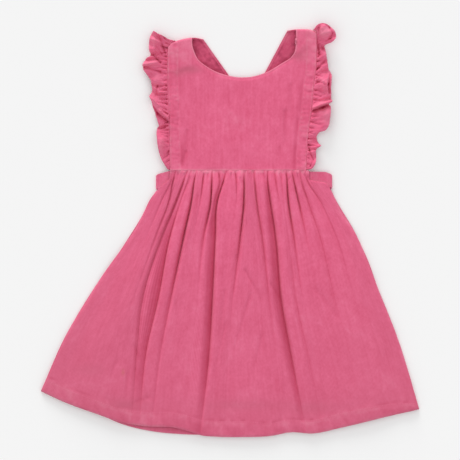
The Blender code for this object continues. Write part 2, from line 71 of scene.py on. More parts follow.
SIDE_LEFT = points(
    (-97, 52.8), (-106.5, 40), (-116, 20), (-127, 0), (-153.5, -36), (-169, -59), (-189.5, -93),
    (-208, -122), (-226, -154), (-241, -186), (-249, -204), (-251.5, -214),
)
SIDE_RIGHT = points(
    (134, 53.8), (139.5, 42), (149, 20), (163, 2), (177, -27), (190, -58), (204, -98),
    (218, -130), (231, -170), (242, -202), (251.5, -238),
)
WAIST_SEAM = 78.9
HEM_FRONT = points(
    (-251.5, -214), (-221, -228), (-177, -244), (-145, -255), (-111, -260.5), (-72, -262.5), (-52, -268),
    (-38, -272.5), (-18, -274.4), (13, -274.8), (56, -273), (80, -268.5), (110, -270), (149, -262),
    (207, -248), (251.5, -238),
)
HEM_BACK = points(
    (-251.5, -214), (-221, -227), (-177, -243.5), (-145, -257.5), (-106, -267), (-61, -271.5),
    (-30, -272.5), (56, -271), (110, -266), (149, -260), (207, -246.5), (251.5, -238),
)
BIB_BOTTOM = points((-79.5, 79.2), (-54, 79.2), (80, 79.2), (101.5, 79.2))
BIB_LEFT = points((-79.5, 79.2), (-80, 120), (-80.8, 157), (-82.4, 186), (-82.8, 226), (-82, 243.5))
BIB_RIGHT = points(
    (101.5, 79.2), (101.8, 98), (104.5, 134), (108.5, 160), (111.2, 191), (114, 212), (114.8, 240),
    (114.9, 263.5),
)
SHOULDER_LEFT = points((-82, 243.5), (-78.5, 247.5), (-71, 251), (-60, 254), (-50, 255.5))
SHOULDER_RIGHT = points((87.5, 266.4), (93, 266.6), (106, 266), (114.9, 263.5))
NECKLINE = points(
    (-50, 255.5), (-50.2, 250), (-49.8, 245), (-47.5, 237), (-41, 225), (-32, 218), (-20, 211), (-4, 205.5),
    (13, 202.8), (28, 203.5), (47, 209), (68, 221), (81, 229.5), (85.6, 236), (87.2, 245), (87.5, 257),
    (87.5, 266.4),
)
BIB_STRAP_SHARE = 0.1  # of the bib's columns, for each of its front straps
STRAPS = {
    # fold line at the shoulder, left and right corner at the waistband, whether it lies over the other
    "strap_left": Strap([*SHOULDER_LEFT, Point(-35.5, 253.5)], Point(43, 78.9), Point(88, 78.9), False),
    "strap_right": Strap([Point(76, 264.8), *SHOULDER_RIGHT], Point(-23, 78.9), Point(19, 78.9), True),
}
BAND_FRONT_LEFT = table(BandEdge, (-98.4, 53.2, 73.2), (-90, 59.3, 75.8), (-81.4, 66.9, 78.2))
BAND_BACK = table(
    BandEdge,
    (-98.4, 53.2, 73.2), (-60, 58, 76.5), (18, 61, 78.6), (100, 58, 76.8), (135.7, 54.4, 73.6),
)
BAND_FRONT_RIGHT = table(BandEdge, (106.6, 66.8, 77.6), (127.3, 63, 77), (135.7, 54.4, 73.6))

FOLD_LEVELS = (0.0, 0.045, 0.11, 0.26, 0.5, 0.7, 1.0)
FOLD_SPREAD = (0.4, 0.5, 0.65, 1.0, 1.0, 0.9, 0.65)
FLAT = (0,) * len(FOLD_LEVELS)
FOLDS = table(
    Fold,
    # x and depth at each level, half widths on the left and right, height of the ridge to its right, and
    # 1 where the line starts in the waist seam, or 0 under the waistband
    ((-81, -81.6, -96, -119, -160, -192, -226), FLAT, 4, 4, 0, 0),
    ((-79.6, -80.3, -94, -117, -156, -187, -220), FLAT, 4, 4, 0, 1),
    ((-76.5, -78.2, -88, -108, -143, -171, -203), (0.45, 0.45, 0.4, 0.1, 0, 0, 0), 6, 6, 0, 1),
    ((-72, -75.5, -79.5, -97, -125, -149, -174), (0.6, 0.7, 0.65, 0.35, 0.1, 0, 0), 4, 5, 0, 1),
    ((-57, -62, -70, -90, -115.5, -123, -130), (0.8, 0.9, 1, 0.7, 0.45, 0.45, 0.1), 5, 12, 0, 1),
    ((-52, -56, -64, -79.5, -95, -110.5, -121), (0.6, 0.5, 0.4, 0.85, 0.75, 0.7, 0.1), 17, 3.5, 0, 1),
    ((-44, -47.5, -50.5, -61.5, -78.5, -91.5, -104), (0.8, 0.9, 0.95, 0.95, 0.5, 0.3, 0.1), 6, 5, 0, 1),
    ((-34.5, -36, -38.5, -49, -58, -69, -77), (0.6, 0.55, 0.2, 0, 0, 0, 0), 4, 4, 0, 1),
    ((-23.5, -24, -25, -35, -43, -52, -60), (0.8, 0.9, 0.95, 0.4, 0, 0, 0), 6, 4, 0.5, 1),
    ((-15.5, -14, -19.5, -26, -31, -38, -50), (0.6, 0.5, 0.1, 0, 0, 0, 0), 4, 4, 0, 1),
    ((-4.5, -9, -16, -19.5, -23.5, -28, -40), (0.7, 0.85, 0.9, 0.95, 1, 0.95, 0.35), 14, 4.5, 2, 1),
    ((7, 8.5, 9, 3, -3, -8, -14), (0.5, 0.4, 0.1, 0, 0, 0, 0), 4, 4, 0, 1),
    ((18.5, 18.8, 18.4, 13, 3, -2, -6), (0.9, 1, 0.95, 0.7, 0.1, 0, 0), 4.5, 6.5, 0.5, 1),
    ((31.5, 33, 35, 43, 52, 61, 71), (0.6, 0.6, 0.6, 0.5, 0.25, 0.1, 0), 5, 8, 0, 1),
    ((50, 50.5, 53.5, 61, 68.5, 81, 101), (0.8, 0.9, 1, 1, 1, 0.95, 0.3), 14, 4.5, 2.5, 1),
    ((59.5, 61, 64.5, 72, 80, 94, 113), (0.45, 0.4, 0.2, 0, 0, 0, 0), 5, 5, 0, 1),
    ((67.5, 68.5, 70.5, 78, 88, 103, 124), (0.4, 0.3, 0.1, 0.15, 0.35, 0.3, 0.1), 6, 7, 0, 1),
    ((75, 75.8, 77.3, 85, 97, 113, 138), (0.85, 0.95, 1, 0.5, 0.1, 0, 0), 6, 4.5, 1, 1),
    ((82, 85, 90, 101, 114, 133, 157), (0.8, 0.9, 0.85, 0.2, 0, 0, 0), 5, 6, 0, 1),
    ((92.5, 95, 102, 119, 138, 156, 179), (0.6, 0.6, 0.55, 0.4, 0.25, 0.05, 0), 7, 6, 0, 1),
    ((100.5, 103, 117, 140, 163, 181, 204), (0.5, 0.55, 0.5, 0.35, 0.15, 0, 0), 7, 8, 0, 1),
    ((104.8, 105.4, 121, 146, 171, 190, 212), FLAT, 4, 4, 0, 1),
    ((106.2, 106.8, 123, 149, 174, 193, 215), FLAT, 4, 4, 0, 0),
)
# How high the skirt puffs up between its folds, at distances below the waist seam
LOFT_BELOW = (0, 5, 14, 45, 95, 170, 240, 300, 350)
LOFT_HEIGHT = (0.5, 2.0, 4.2, 7.4, 7.6, 7.2, 5.8, 3.8, 2.0)

RUFFLE_SEAM_LEFT = points(
    (-79.8, 79.6), (-80.3, 120), (-81.1, 157), (-82.7, 186), (-83.1, 226), (-82.6, 236), (-81.8, 243),
    (-78.6, 247.5), (-73.1, 250.2),
)
RUFFLE_SEAM_RIGHT = points(
    (101.8, 79.6), (102.1, 98), (104.8, 134), (108.8, 160), (111.5, 191), (114.3, 212), (115.1, 240),
    (115.1, 252), (114.9, 260), (114.7, 263.2), (111.3, 265),
)
RUFFLE_LEFT = table(
    Wave,
    (80.5, -82.5, 80, 3.5), (89, -90, 92, 8), (97, -94, 102.5, 5), (106.5, -96, 113, 9),
    (115.5, -97, 122.5, 9.5), (127.5, -97.5, 129.5, 6), (133, -96.5, 135, 2.2), (137, -94.5, 138.5, 2.2),
    (141, -96, 143.5, 5.5), (145, -99, 154.5, 3), (147.5, -102.5, 163.5, 2.2), (150.5, -104.5, 171, 6),
    (153, -107, 177, 10), (159.5, -104.5, 181.5, 6), (167.5, -103.5, 185, 3), (175.5, -103.5, 190, 7),
    (183.5, -104.5, 194, 4), (191.5, -105.5, 199, 8), (201, -109.5, 205, 5), (209, -114, 211, 9),
    (214, -115.5, 216, 4), (218, -116, 219, 10), (223.5, -113, 225, 3.5), (227, -109, 229, 7),
    (230, -105.5, 232, 2.2), (233, -106, 235.5, 4), (235.5, -107.5, 239.5, 8), (237.5, -107.5, 247.5, 5),
    (239.5, -106.5, 254, 9), (241.5, -104.5, 259.5, 5), (243.5, -101, 263.5, 10),
    (245.5, -96.5, 260.5, 5.5), (247, -90, 257, 8.5), (248.5, -82.5, 253.5, 6), (251, -74.5, 251.5, 4.5),
)
RUFFLE_RIGHT = table(
    Wave,
    (80.5, 104.5, 80, 3.5), (84, 109.5, 82, 7), (89, 113.5, 89, 9), (96, 114.5, 98.5, 4),
    (102.5, 114, 105, 7), (105.5, 115.5, 108, 4), (108.5, 120.5, 111.5, 8.5), (113, 117.5, 115.5, 3.5),
    (117, 115.5, 120.5, 2.2), (121.5, 115.5, 125.5, 4), (125, 119.5, 130, 7), (129, 126.5, 132, 9),
    (134.5, 131, 138.5, 10), (141, 132.5, 147, 8.5), (147.5, 133.5, 155.5, 10), (153.5, 133.5, 163.5, 7),
    (157.5, 131.5, 167.5, 2.2), (159.5, 133, 168.5, 3.5), (161.5, 135.5, 170, 9), (165, 134.5, 174, 4),
    (169, 134, 179.5, 8), (175.5, 134, 187.5, 4.5), (183.5, 134.5, 195.5, 9), (191.5, 134.5, 203, 10),
    (199.5, 133, 210, 5), (205, 131, 213.5, 2.5), (210, 130, 218, 7), (218, 129, 225, 4.5),
    (225, 127.5, 233, 8), (230, 126.5, 239.5, 4), (235.5, 125.5, 244.5, 2.2), (238.5, 128.5, 246.5, 5),
    (242, 134.5, 248.5, 9), (245.5, 139, 252.5, 12), (248.5, 140.5, 257.5, 9), (252, 138.5, 263.5, 11),
    (255.5, 133.5, 268.5, 9), (258, 127.5, 272.5, 12), (260.5, 121.5, 274, 9), (262.5, 115.5, 271.5, 11),
    (264.5, 112.5, 268, 7), (265.5, 110.5, 265, 4.5),
)

# Creases, ridges and overlaps, from one place to another
SKIRT_CREASES = table(
    Crease,
    (-74, 69, -78, 57, 1.3, 1.4), (-74.5, 57, -80, 32, 1, 0.9), (-80, 32, -85, 12, 1.2, 0.8),
    (-60.5, 74.5, -62.5, 70.5, 1.2, 1.2), (-53, 69, -58, 52, 1.3, 1.2), (-14.5, 74, -12, 62.5, 1.3, 1.6),
    (-8, 64, -8.5, 53, 1, 1), (7.5, 74, 12, 56, 1.6, 1.2), (14, 69, 18, 61, 1.2, 1.4),
    (20, 33, 22.5, 8, 1.4, 0.9), (44.5, 74, 46.5, 66.5, 1.3, 1.4), (59, 75, 61, 61, 1.4, 1.2),
    (74, 74.5, 75.5, 66.5, 1.2, 1.5), (79, 69, 76, 64, 1.1, 1.2), (-34.5, 74, -35, 61, 1.4, 1.6),
    (-42.5, 45, -44, 32, 2.2, 0.6), (-69, 74.5, -70.5, 66.5, 1.2, 1), (-65, 74.5, -66.5, 69, 1, 0.9),
    (-29.5, 74.5, -29.5, 69, 1.1, 1), (1.5, 74.5, 2, 68, 1.1, 1), (25.5, 74.5, 25.5, 69, 1.1, 0.9),
    (38.5, 74.5, 38.5, 69, 1.1, 0.8), (66.5, 74.5, 68, 68, 1.2, 1), (89, 74.5, 90.5, 68, 1.1, 1),
    (99, 73, 102.5, 64, 1.2, 1.1), (103.5, 70.5, 110.5, 58.5, 1.2, 0.9), (53, -69, 70.5, -98.5, 1.5, 0.8),
    (42.5, -139.5, 30.5, -187.5, 1.6, 0.7), (-6.5, -80, -14.5, -143.5, 1.8, 0.7),
    (-5.5, -123.5, -21.5, -190, 1.6, 0.5), (115.5, -80, 141, -113, 3, 0.7),
    (-135.5, -189, -138.5, -221, 1.6, 0.9), (-149, -173, -157, -189, 3, 0.5), (8, -33, 2.5, -60, 1.6, 1),
    (-72, -93, -69, -114.5, 1.6, 0.8), (-126.5, -153, -121, -170, 1.6, 0.8),
    (-166, -223.5, -119.5, -242, 1.2, 0.6), (-106.5, -221, -129, -229, 1.6, 0.9),
    (20.5, -53, 42, -92, 1.8, 1), (26.5, -86, 5, -160, 1.8, 0.7), (-80, -86, -97, -155, 2.2, 0.5),
)
BIB_CREASES = table(
    Crease,
    (-57, 131.5, -58.5, 103.5, 2.6, 0.8), (-58.5, 103.5, -64, 86.5, 2.4, 0.8),
    (-68, 166, -68, 119.5, 1.6, 0.7), (73, 157, 73, 117, 3.4, 1.1), (81, 193, 80, 157, 2.4, 0.6),
    (90.5, 146.5, 89, 106.5, 2, 0.5), (-65, 210, -41, 218, 3.2, 0.6), (81, 226, 101, 236.5, 3.2, 0.6),
    (93, 244.5, 101, 255.5, 1.6, 0.5), (66.5, 109, 65, 93, 2.4, 0.6), (-73, 246, -62.5, 236.5, 2.2, 0.4),
)
LEFT_CREASES = table(
    Crease,
    (-86.5, 236, -95, 259.5, 1.6, 2.2), (-90.5, 234, -99, 244.5, 1.3, 1.4),
    (-92.5, 222, -103.5, 234, 1.7, 2.6), (-92.5, 210, -113, 216, 1.9, 2.4),
    (-84, 230, -92, 231.5, 1.2, 1.8), (-84, 225.5, -90.5, 226, 1.2, 1.8), (-83, 219.5, -89, 220, 1.1, 1.6),
    (-82.5, 213.5, -90.5, 215, 1.2, 1.4), (-82.5, 207.5, -93, 203.5, 1.6, 1),
    (-82.5, 199.5, -89, 198, 1.2, 1), (-84, 191.5, -96.5, 191, 1.3, 1.9), (-84, 186, -93, 185, 1.2, 1.8),
    (-96.5, 191.5, -98.5, 177, 1.4, 1.6), (-84, 180, -96, 179.5, 1.3, 2), (-84, 173.5, -93, 174, 1.2, 1.8),
    (-84, 167.5, -96, 169, 1.3, 1.6), (-86.5, 136.5, -95, 134.5, 1.6, 2.6),
    (-82.5, 143.5, -88, 141, 1.1, 2), (-82.5, 138.5, -89, 139, 1, 2), (-82.5, 133, -90.5, 131.5, 1.1, 1.6),
    (-83, 127.5, -93, 129.5, 1.3, 1.5), (-82.5, 123.5, -90.5, 125.5, 1.2, 1.3),
    (-82.5, 117, -89, 115.5, 1.2, 1), (-82.5, 110.5, -89, 109, 1.2, 1.2), (-81, 105, -86, 99, 1.2, 1.4),
    (-81.5, 100, -90.5, 93, 1.3, 1.4), (-81, 93, -86.5, 88, 1.1, 1.2), (-84, 255.5, -90.5, 256.5, 1.2, 1.2),
    (-82.5, 247.5, -89, 248.5, 1.2, 1.2), (-82.5, 241.5, -92, 244.5, 1.3, 1.6),
    (-85, 159.5, -92, 163.5, 1.2, 1.3), (-82.5, 154.5, -89, 157, 1.2, 1.3),
)
LEFT_RIDGES = table(
    Crease,
    (-100.5, 260.5, -100, 236.5, 2.2, 1.4), (-95, 223.5, -114.5, 219, 1.9, 1.6),
    (-88, 140.5, -95, 137.5, 1.5, 1.5), (-85, 189, -93, 188, 1.2, 1.2), (-85, 183, -94.5, 182, 1.2, 1.2),
    (-101.5, 173, -90.5, 157, 1.8, 1.2), (-90.5, 119.5, -92, 98.5, 4, 1.2), (-96, 202, -98.5, 194, 4, 1.2),
)
LEFT_LIPS = table(
    Crease,
    (-105, 171.5, -95, 156.5, 2, 2.2), (-95, 156.5, -84, 148, 2, 2.4),
)
RIGHT_CREASES = table(
    Crease,
    (118.5, 233, 115.5, 252.5, 1.8, 2.6), (123.5, 240.5, 118.5, 247.5, 1.5, 1.8),
    (115.5, 213, 129, 227.5, 1.8, 2.4), (114.5, 206, 121, 203.5, 1.2, 1.5),
    (116.5, 197, 129, 191.5, 1.6, 1.8), (114.5, 223.5, 122.5, 226, 1.3, 1.6),
    (113, 186, 122.5, 183.5, 1.3, 1.6), (112.5, 179.5, 121, 177, 1.2, 1.6),
    (111.5, 173, 119.5, 171.5, 1.1, 1.4), (106.5, 151.5, 117, 150.5, 1.3, 1.2),
    (104.5, 145, 121, 138.5, 1.8, 1.6), (103.5, 137, 111.5, 134.5, 1.2, 1.3),
    (103, 129, 110.5, 127.5, 1.2, 1.3), (103, 121, 114.5, 121.5, 1.4, 2),
    (103.5, 113, 114.5, 111.5, 1.4, 2.2), (105, 107.5, 110.5, 93, 1.5, 2.2),
    (106.5, 84, 110.5, 93, 1.4, 1.8), (103.5, 96, 107.5, 92, 1.1, 1.4),
    (123, 273, 131, 268.5, 1, 1.4), (131, 268.5, 135.5, 260.5, 1, 1.7), (135.5, 260.5, 133, 253.5, 1, 1.7),
    (133, 253.5, 126.5, 250, 1, 2), (118, 268, 117.5, 257, 1.2, 1.6), (121, 264.5, 124.5, 258, 1.6, 0.8),
    (117, 230, 122.5, 233, 1.2, 1.6), (107.5, 157, 117, 157, 1.2, 1.2),
)
RIGHT_RIDGES = table(
    Crease,
    (123.5, 261.5, 127, 263, 6, 4), (121, 218, 127.5, 219.5, 2.6, 1.2), (125, 186, 121, 199.5, 3, 1.2),
    (127.5, 157, 126.5, 141, 4.5, 1.6), (107.5, 103.5, 111, 97, 1.2, 1.2), (117, 167.5, 130.5, 171.5, 2, 1),
)
RIGHT_LIPS = table(
    Crease,
    (111.5, 160.5, 123, 165, 2, 2.4), (123, 165, 135.5, 169.5, 2, 2.4), (129, 194, 131.5, 206, 1.4, 1.6),
    (130.5, 182, 129, 194, 1.4, 1.6),
)

# ---------------- curves and fields


def hermite(knots, values, at):
    """Values of a smooth curve through the rows of values, each at its knot."""
    knots, values, at = np.asarray(knots, float), np.asarray(values, float), np.asarray(at, float)
    at = np.clip(at, knots[0], knots[-1])
    slopes = np.gradient(values, knots, axis=0)
    i = np.clip(np.searchsorted(knots, at, side="right") - 1, 0, len(knots) - 2)
    width = knots[i + 1] - knots[i]
    t = (at - knots[i]) / width
    if values.ndim > 1:
        t, width = t[..., None], width[..., None]
    start, end = values[i], values[i + 1]
    bend = (slopes[i] * (1 - t) - slopes[i + 1] * t) * width
    return start + (end - start) * t * t * (3 - 2 * t) + bend * t * (1 - t)


def run_along(line):
    """How far along a line each of its points is."""
    return np.concatenate([[0], np.cumsum(np.linalg.norm(np.diff(line, axis=0), axis=1))])


def curve(line, at):
    """Points of a smooth curve through the given points, at shares of its length."""
    run = run_along(line)
    return hermite(run / run[-1], line, at)


def x_at(line, y):
    rows = sorted(line, key=lambda p: p.y)
    return hermite([p.y for p in rows], [p.x for p in rows], y)


def y_at(line, x):
    return hermite([p.x for p in line], [p.y for p in line], x)


def band_edges(band, x):
    """The y of the lower and the upper edge of a part of the waistband."""
    at = [e.x for e in band]
    return np.interp(x, at, [e.low for e in band]), np.interp(x, at, [e.high for e in band])


def distance_to(line, x, y, fine=120):
    """How far places in plan are from a smooth line."""
    line = curve(line, np.linspace(0, 1, fine))
    best = np.full(np.shape(x), np.inf)
    for start, end in zip(line, line[1:]):
        step = end - start
        share = np.clip(((x - start[0]) * step[0] + (y - start[1]) * step[1]) / (step @ step), 0, 1)
        best = np.minimum(best, np.hypot(x - start[0] - share * step[0], y - start[1] - share * step[1]))
    return best


def eased(share):
    share = np.clip(share, 0.0, 1.0)
    return share * share * (3 - 2 * share)


def rounded(distance, radius):
    inwards = np.clip(distance / radius, 0.0, 1.0)
    return np.sqrt(1 - (1 - inwards) ** 2)


def bump(distance, width):
    return np.exp(-((distance / width) ** 2))


def beside(x, y, row):
    """How far places are to the left of a short line, how far past its ends, and at which share of it."""
    dx, dy = row.x1 - row.x0, row.y1 - row.y0
    length = math.hypot(dx, dy)
    share = ((x - row.x0) * dx + (y - row.y0) * dy) / length**2
    aside = ((y - row.y0) * dx - (x - row.x0) * dy) / length
    return aside, np.maximum(np.maximum(-share, share - 1), 0) * length, np.clip(share, 0, 1)


def creased(x, y, rows, sharpness=1.4, end=0.45):
    """Depth of the creases, each deepest at its start."""
    depth = 0.0
    for row in rows:
        aside, beyond, share = beside(x, y, row)
        near = np.exp(-(np.hypot(aside, beyond) / row.width) ** sharpness)
        depth = depth + row.depth * (1 - (1 - end) * share) * near
    return depth


def lipped(x, y, rows):
    """Height of cloth folded over itself along a line: raised on the line's left and sunk on its right."""
    height = 0.0
    for row in rows:
        aside, beyond, _ = beside(x, y, row)
        near = aside / row.width
        height = height + row.depth * near * np.exp(0.5 - 0.5 * near**2) * bump(beyond, 1.5 * row.width)
    return height


LATTICE = np.random.default_rng(11).random((127, 127)) * 2 - 1


def noise(x, y, wide, high, layer=0):
    """Smooth noise from -1 to 1, with features of the given size."""
    # Each layer shows another stretch of the lattice
    u, v = x / wide + 13.7 * layer, y / high + 31.3 * layer
    i, j = np.floor(u).astype(int), np.floor(v).astype(int)
    s, t = eased(u - i), eased(v - j)
    n = len(LATTICE)
    a, b = LATTICE[i % n, j % n], LATTICE[(i + 1) % n, j % n]
    c, d = LATTICE[i % n, (j + 1) % n], LATTICE[(i + 1) % n, (j + 1) % n]
    return (a * (1 - s) + b * s) * (1 - t) + (c * (1 - s) + d * s) * t


def uneven(x, y, *grains):
    return sum(grain.amount * noise(x, y, *grain[1:]) for grain in grains)


def spaced(length, step, edge=1.6):
    """Shares of a length: about a step apart, closer within edge of both ends."""
    fine = np.array((0, 0.2, 0.5, 0.9, edge)) / length
    middle = np.linspace(fine[-1], 1 - fine[-1], max(int(round(length / step)), 4))
    return np.concatenate([fine[:-1], middle, 1 - fine[:-1][::-1]])


def joined(*parts):
    """One array of places from their coordinates."""
    return np.stack(np.broadcast_arrays(*parts), -1)


# ---------------- materials


def new_material(name):
    material = bpy.data.materials.new(name)
    material.use_nodes = True
    tree = material.node_tree
    return material, tree, tree.nodes["Principled BSDF"]


def node(tree, kind, **settings):
    made = tree.nodes.new(kind)
    for key, value in settings.items():
        if key in made.inputs:
            made.inputs[key].default_value = value
        else:
            setattr(made, key, value)
    return made


def feed(tree, socket, value):
    """Sets a socket to a value, or joins it to the output that makes one."""
    if isinstance(value, (int, float, tuple)):
        socket.default_value = value
    else:
        tree.links.new(value, socket)


def calc(tree, operation, a, b=0.0, clamp=False):
    made = node(tree, "ShaderNodeMath", operation=operation, use_clamp=clamp)
    feed(tree, made.inputs[0], a)
    feed(tree, made.inputs[1], b)
    return made.outputs[0]


def summed(tree, *terms):
    """The sum of (value, middle, amount) terms: each value's distance from its middle, times the amount."""
    result = 0.0
    for value, middle, amount in terms:
        off_middle = calc(tree, "SUBTRACT", value, middle)
        result = calc(tree, "ADD", calc(tree, "MULTIPLY", off_middle, amount), result)
    return result


def mix_colour(tree, share, a, b):
    made = node(tree, "ShaderNodeMix", data_type="RGBA")
    for key, value in (("Factor", share), (6, a), (7, b)):
        feed(tree, made.inputs[key], value)
    return made.outputs[2]


def srgb(*levels):
    shares = (level / 255 for level in levels)
    return (*(c / 12.92 if c <= 0.04045 else ((c + 0.055) / 1.055) ** 2.4 for c in shares), 1.0)


WALE = 1.45  # spacing of the cords
WAVER = 0.9  # how far the cords stray sideways
RELIEF = 0.35
SHEEN = 0.22
STAIN, SHEEN_TINT = srgb(196, 104, 84), srgb(255, 214, 226)
GRAINS = {
    # size across and along the cloth, detail, layer, roughness
    "waver": (9, 60, 2, 1.7, 0.5), "streak": (3.4, 60, 2, 4.1, 0.5), "fuzz": (0.5, 0.8, 2, 8.3, 0.5),
    "cloud": (34, 46, 3, 2.9, 0.55), "blotch": (8, 11, 3, 6.4, 0.6), "mottle": (2.6, 3.4, 2, 9.7, 0.6),
}


def grain_noise(tree, u, v, wide, high, detail, layer, roughness):
    place = node(tree, "ShaderNodeCombineXYZ")
    feed(tree, place.inputs[0], calc(tree, "MULTIPLY", u, 1 / (wide * MM)))
    feed(tree, place.inputs[1], calc(tree, "MULTIPLY", v, 1 / (high * MM)))
    place.inputs[2].default_value = layer
    made = node(tree, "ShaderNodeTexNoise", Scale=1.0, Detail=detail, Roughness=roughness)
    feed(tree, made.inputs["Vector"], place.outputs[0])
    return made.outputs["Fac"]


def corduroy(name, light, deep, faded_and_lit, dim_and_smudged, painted_shade):
    """Fine washed corduroy: light on the cords, deep between them, paler where the pile wears and as
    painted highlight on raised cloth, darker towards the hem as painted falloff of light, duller towards
    the sides and at its smudges, and darker in folds, creases and grooves as painted shade."""
    material, tree, shader = new_material(name)
    split = node(tree, "ShaderNodeSeparateXYZ")
    feed(tree, split.inputs[0], node(tree, "ShaderNodeUVMap", uv_map="cloth").outputs["UV"])
    u, v = split.outputs[0], split.outputs[1]
    grains = {key: grain_noise(tree, u, v, *row) for key, row in GRAINS.items()}
    cloud, blotch, mottle, fuzz = (grains[key] for key in ("cloud", "blotch", "mottle", "fuzz"))
    wear_and_shading, lower, stain = (
        node(tree, "ShaderNodeAttribute", attribute_name=key).outputs["Fac"]
        for key in ("wear_and_shading", "lower", "stain")
    )
    across = calc(tree, "ADD", u, summed(tree, (grains["waver"], 0.5, WAVER * MM)))
    wave = calc(tree, "SINE", calc(tree, "MULTIPLY", across, 2 * math.pi / (WALE * MM)))
    cord = calc(tree, "POWER", summed(tree, (wave, -1.0, 0.5)), 0.6)

    tone = summed(tree, (cord, 0.64, 0.5), (grains["streak"], 0.5, 0.55), (cloud, 0.5, 0.7),
                  (blotch, 0.5, 0.65), (mottle, 0.5, 0.7))
    body = mix_colour(tree, calc(tree, "ADD", tone, 0.55, clamp=True), deep, light)
    # Darker down the skirt and towards the hem as painted falloff of light, duller towards the sides and at
    # the smudges
    body = mix_colour(tree, calc(tree, "MULTIPLY", lower, 0.45, clamp=True), body, dim_and_smudged)
    # Painted shade, where the attribute is below 0: in folds, creases, grooves and beside the bib's
    # neckline
    body = mix_colour(tree, calc(tree, "MULTIPLY", wear_and_shading, -1.0, clamp=True), body, painted_shade)
    body = mix_colour(tree, stain, body, STAIN)
    # Paler where the pile wears, and painted highlight where the attribute rises on raised cloth
    worn_and_lit = summed(tree, (wear_and_shading, 0.0, 1.0), (cloud, 0.56, 0.7), (blotch, 0.58, 0.8))
    patchy = calc(tree, "ADD", calc(tree, "MULTIPLY", fuzz, 0.9), 0.4)
    worn_and_lit = calc(tree, "MULTIPLY", worn_and_lit, patchy, clamp=True)
    body = mix_colour(tree, calc(tree, "MULTIPLY", worn_and_lit, 0.6), body, faded_and_lit)

    relief = node(tree, "ShaderNodeBump", Strength=0.5, Distance=RELIEF * MM)
    height = summed(tree, (cord, 0.0, 1.0), (fuzz, 0.0, 0.6), (mottle, 0.0, 0.5))
    feed(tree, relief.inputs["Height"], height)
    for key, value in (
        ("Base Color", body), ("Normal", relief.outputs[0]), ("Roughness", 0.92),
        ("Specular IOR Level", 0.15), ("Sheen Weight", SHEEN), ("Sheen Roughness", 0.5),
        ("Sheen Tint", SHEEN_TINT),
    ):
        feed(tree, shader.inputs[key], value)
    return material


def thread():
    material, tree, shader = new_material("thread_pink")
    twist = node(tree, "ShaderNodeTexNoise", Scale=1400.0, Detail=2.0)
    feed(tree, twist.inputs["Vector"], node(tree, "ShaderNodeTexCoord").outputs["Object"])
    colour = mix_colour(tree, twist.outputs["Fac"], srgb(206, 84, 118), srgb(236, 140, 166))
    feed(tree, shader.inputs["Base Color"], colour)
    shader.inputs["Roughness"].default_value = 0.7
    return material


OUTER = corduroy(
    "corduroy_pink", light=srgb(241, 117, 154), deep=srgb(217, 83, 119), faded_and_lit=srgb(233, 153, 173),
    dim_and_smudged=srgb(197, 97, 121), painted_shade=srgb(176, 34, 72),
)
# The inside of the cloth: darker for its own reverse face, and partly as painted shade
INNER_SHADED = corduroy(
    "corduroy_pink_inside_shaded", light=srgb(218, 92, 126), deep=srgb(192, 66, 100), faded_and_lit=srgb(217, 128, 149),
    dim_and_smudged=srgb(182, 84, 107), painted_shade=srgb(140, 34, 62),
)
THREAD = thread()

# ---------------- cloth pieces

SMUDGES = table(
    Smudge,
    (-53, 213, 15, 5, 1.6), (-68, 208, 9, 5, 1), (90, 231, 12, 6, 1.5), (99, 241, 8, 5, 0.9),
    (-186, -186, 20, 9, 0.4), (-140, -232, 26, 8, 0.5), (18, -232, 45, 7, 0.5), (110, -235, 30, 8, 0.4),
)
BIB_FADES = table(
    Smudge,
    # fresher colour where the amount is below 0, paler above
    (2, 187, 78, 17, -0.06), (-8, 98, 70, 16, -0.05), (13, 141, 22, 12, 0.25), (-40, 128, 14, 20, 0.12),
    (58, 150, 12, 20, 0.12), (-66, 228, 16, 12, 0.2), (98, 222, 10, 22, 0.2),
)


def patches(x, y, rows):
    return sum(s.amount * bump(np.hypot((x - s.x) / s.wide, (y - s.y) / s.high), 1.0) for s in rows)


def dimming_and_smudges(x, y):
    """How much duller the colour is: more towards the sides; more down the skirt and most near the hem,
    which is painted falloff of light; and at the smudges.
    """
    hem = 0.4 * eased((60 - y) / 250) + 0.45 * eased((-190 - y) / 70)
    return hem + 0.6 * ((x - 35) / 240) ** 2 + patches(x, y, SMUDGES)


def placed(name, mesh):
    piece = bpy.data.objects.new(name, mesh)
    bpy.context.scene.collection.objects.link(piece)
    return piece


def store(mesh, name, values):
    layer = mesh.attributes.new(name, "FLOAT", "POINT")
    layer.data.foreach_set("value", values.astype(np.float32).ravel())


def cloth(name, place, uv, thickness, side, wear_and_shading, stands_for, inside=False):
    """A wall of cloth over a grid of places (columns, rows, 3), standing for a node of the frame.
    Where inside is true, its upper face shows the inside of the cloth, in a darker material that is partly
    painted shade."""
    columns, rows = place.shape[:2]
    index = np.arange(columns * rows).reshape(columns, rows)
    faces = np.stack([index[:-1, :-1], index[1:, :-1], index[1:, 1:], index[:-1, 1:]], -1).reshape(-1, 4)
    mesh = bpy.data.meshes.new(name)
    mesh.from_pydata((place.reshape(-1, 3) * MM).tolist(), [], faces.tolist())
    layer = mesh.uv_layers.new(name="cloth")
    layer.uv.foreach_set("vector", (uv.reshape(-1, 2)[faces.ravel()] * MM).astype(np.float32).ravel())
    store(mesh, "wear_and_shading", np.clip(wear_and_shading, -1, 1))
    store(mesh, "lower", dimming_and_smudges(place[..., 0], place[..., 1]))
    mesh.shade_smooth()
    mesh.materials.append(INNER_SHADED if inside else OUTER)
    piece = placed(name, mesh)
    wall = piece.modifiers.new("wall", "SOLIDIFY")
    wall.thickness = thickness * MM
    wall.offset = side
    if inside:
        mesh.materials.append(OUTER)
        wall.material_offset = 1
    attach(piece, "root")
    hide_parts(stands_for)
    return piece


# ---------------- the front skirt

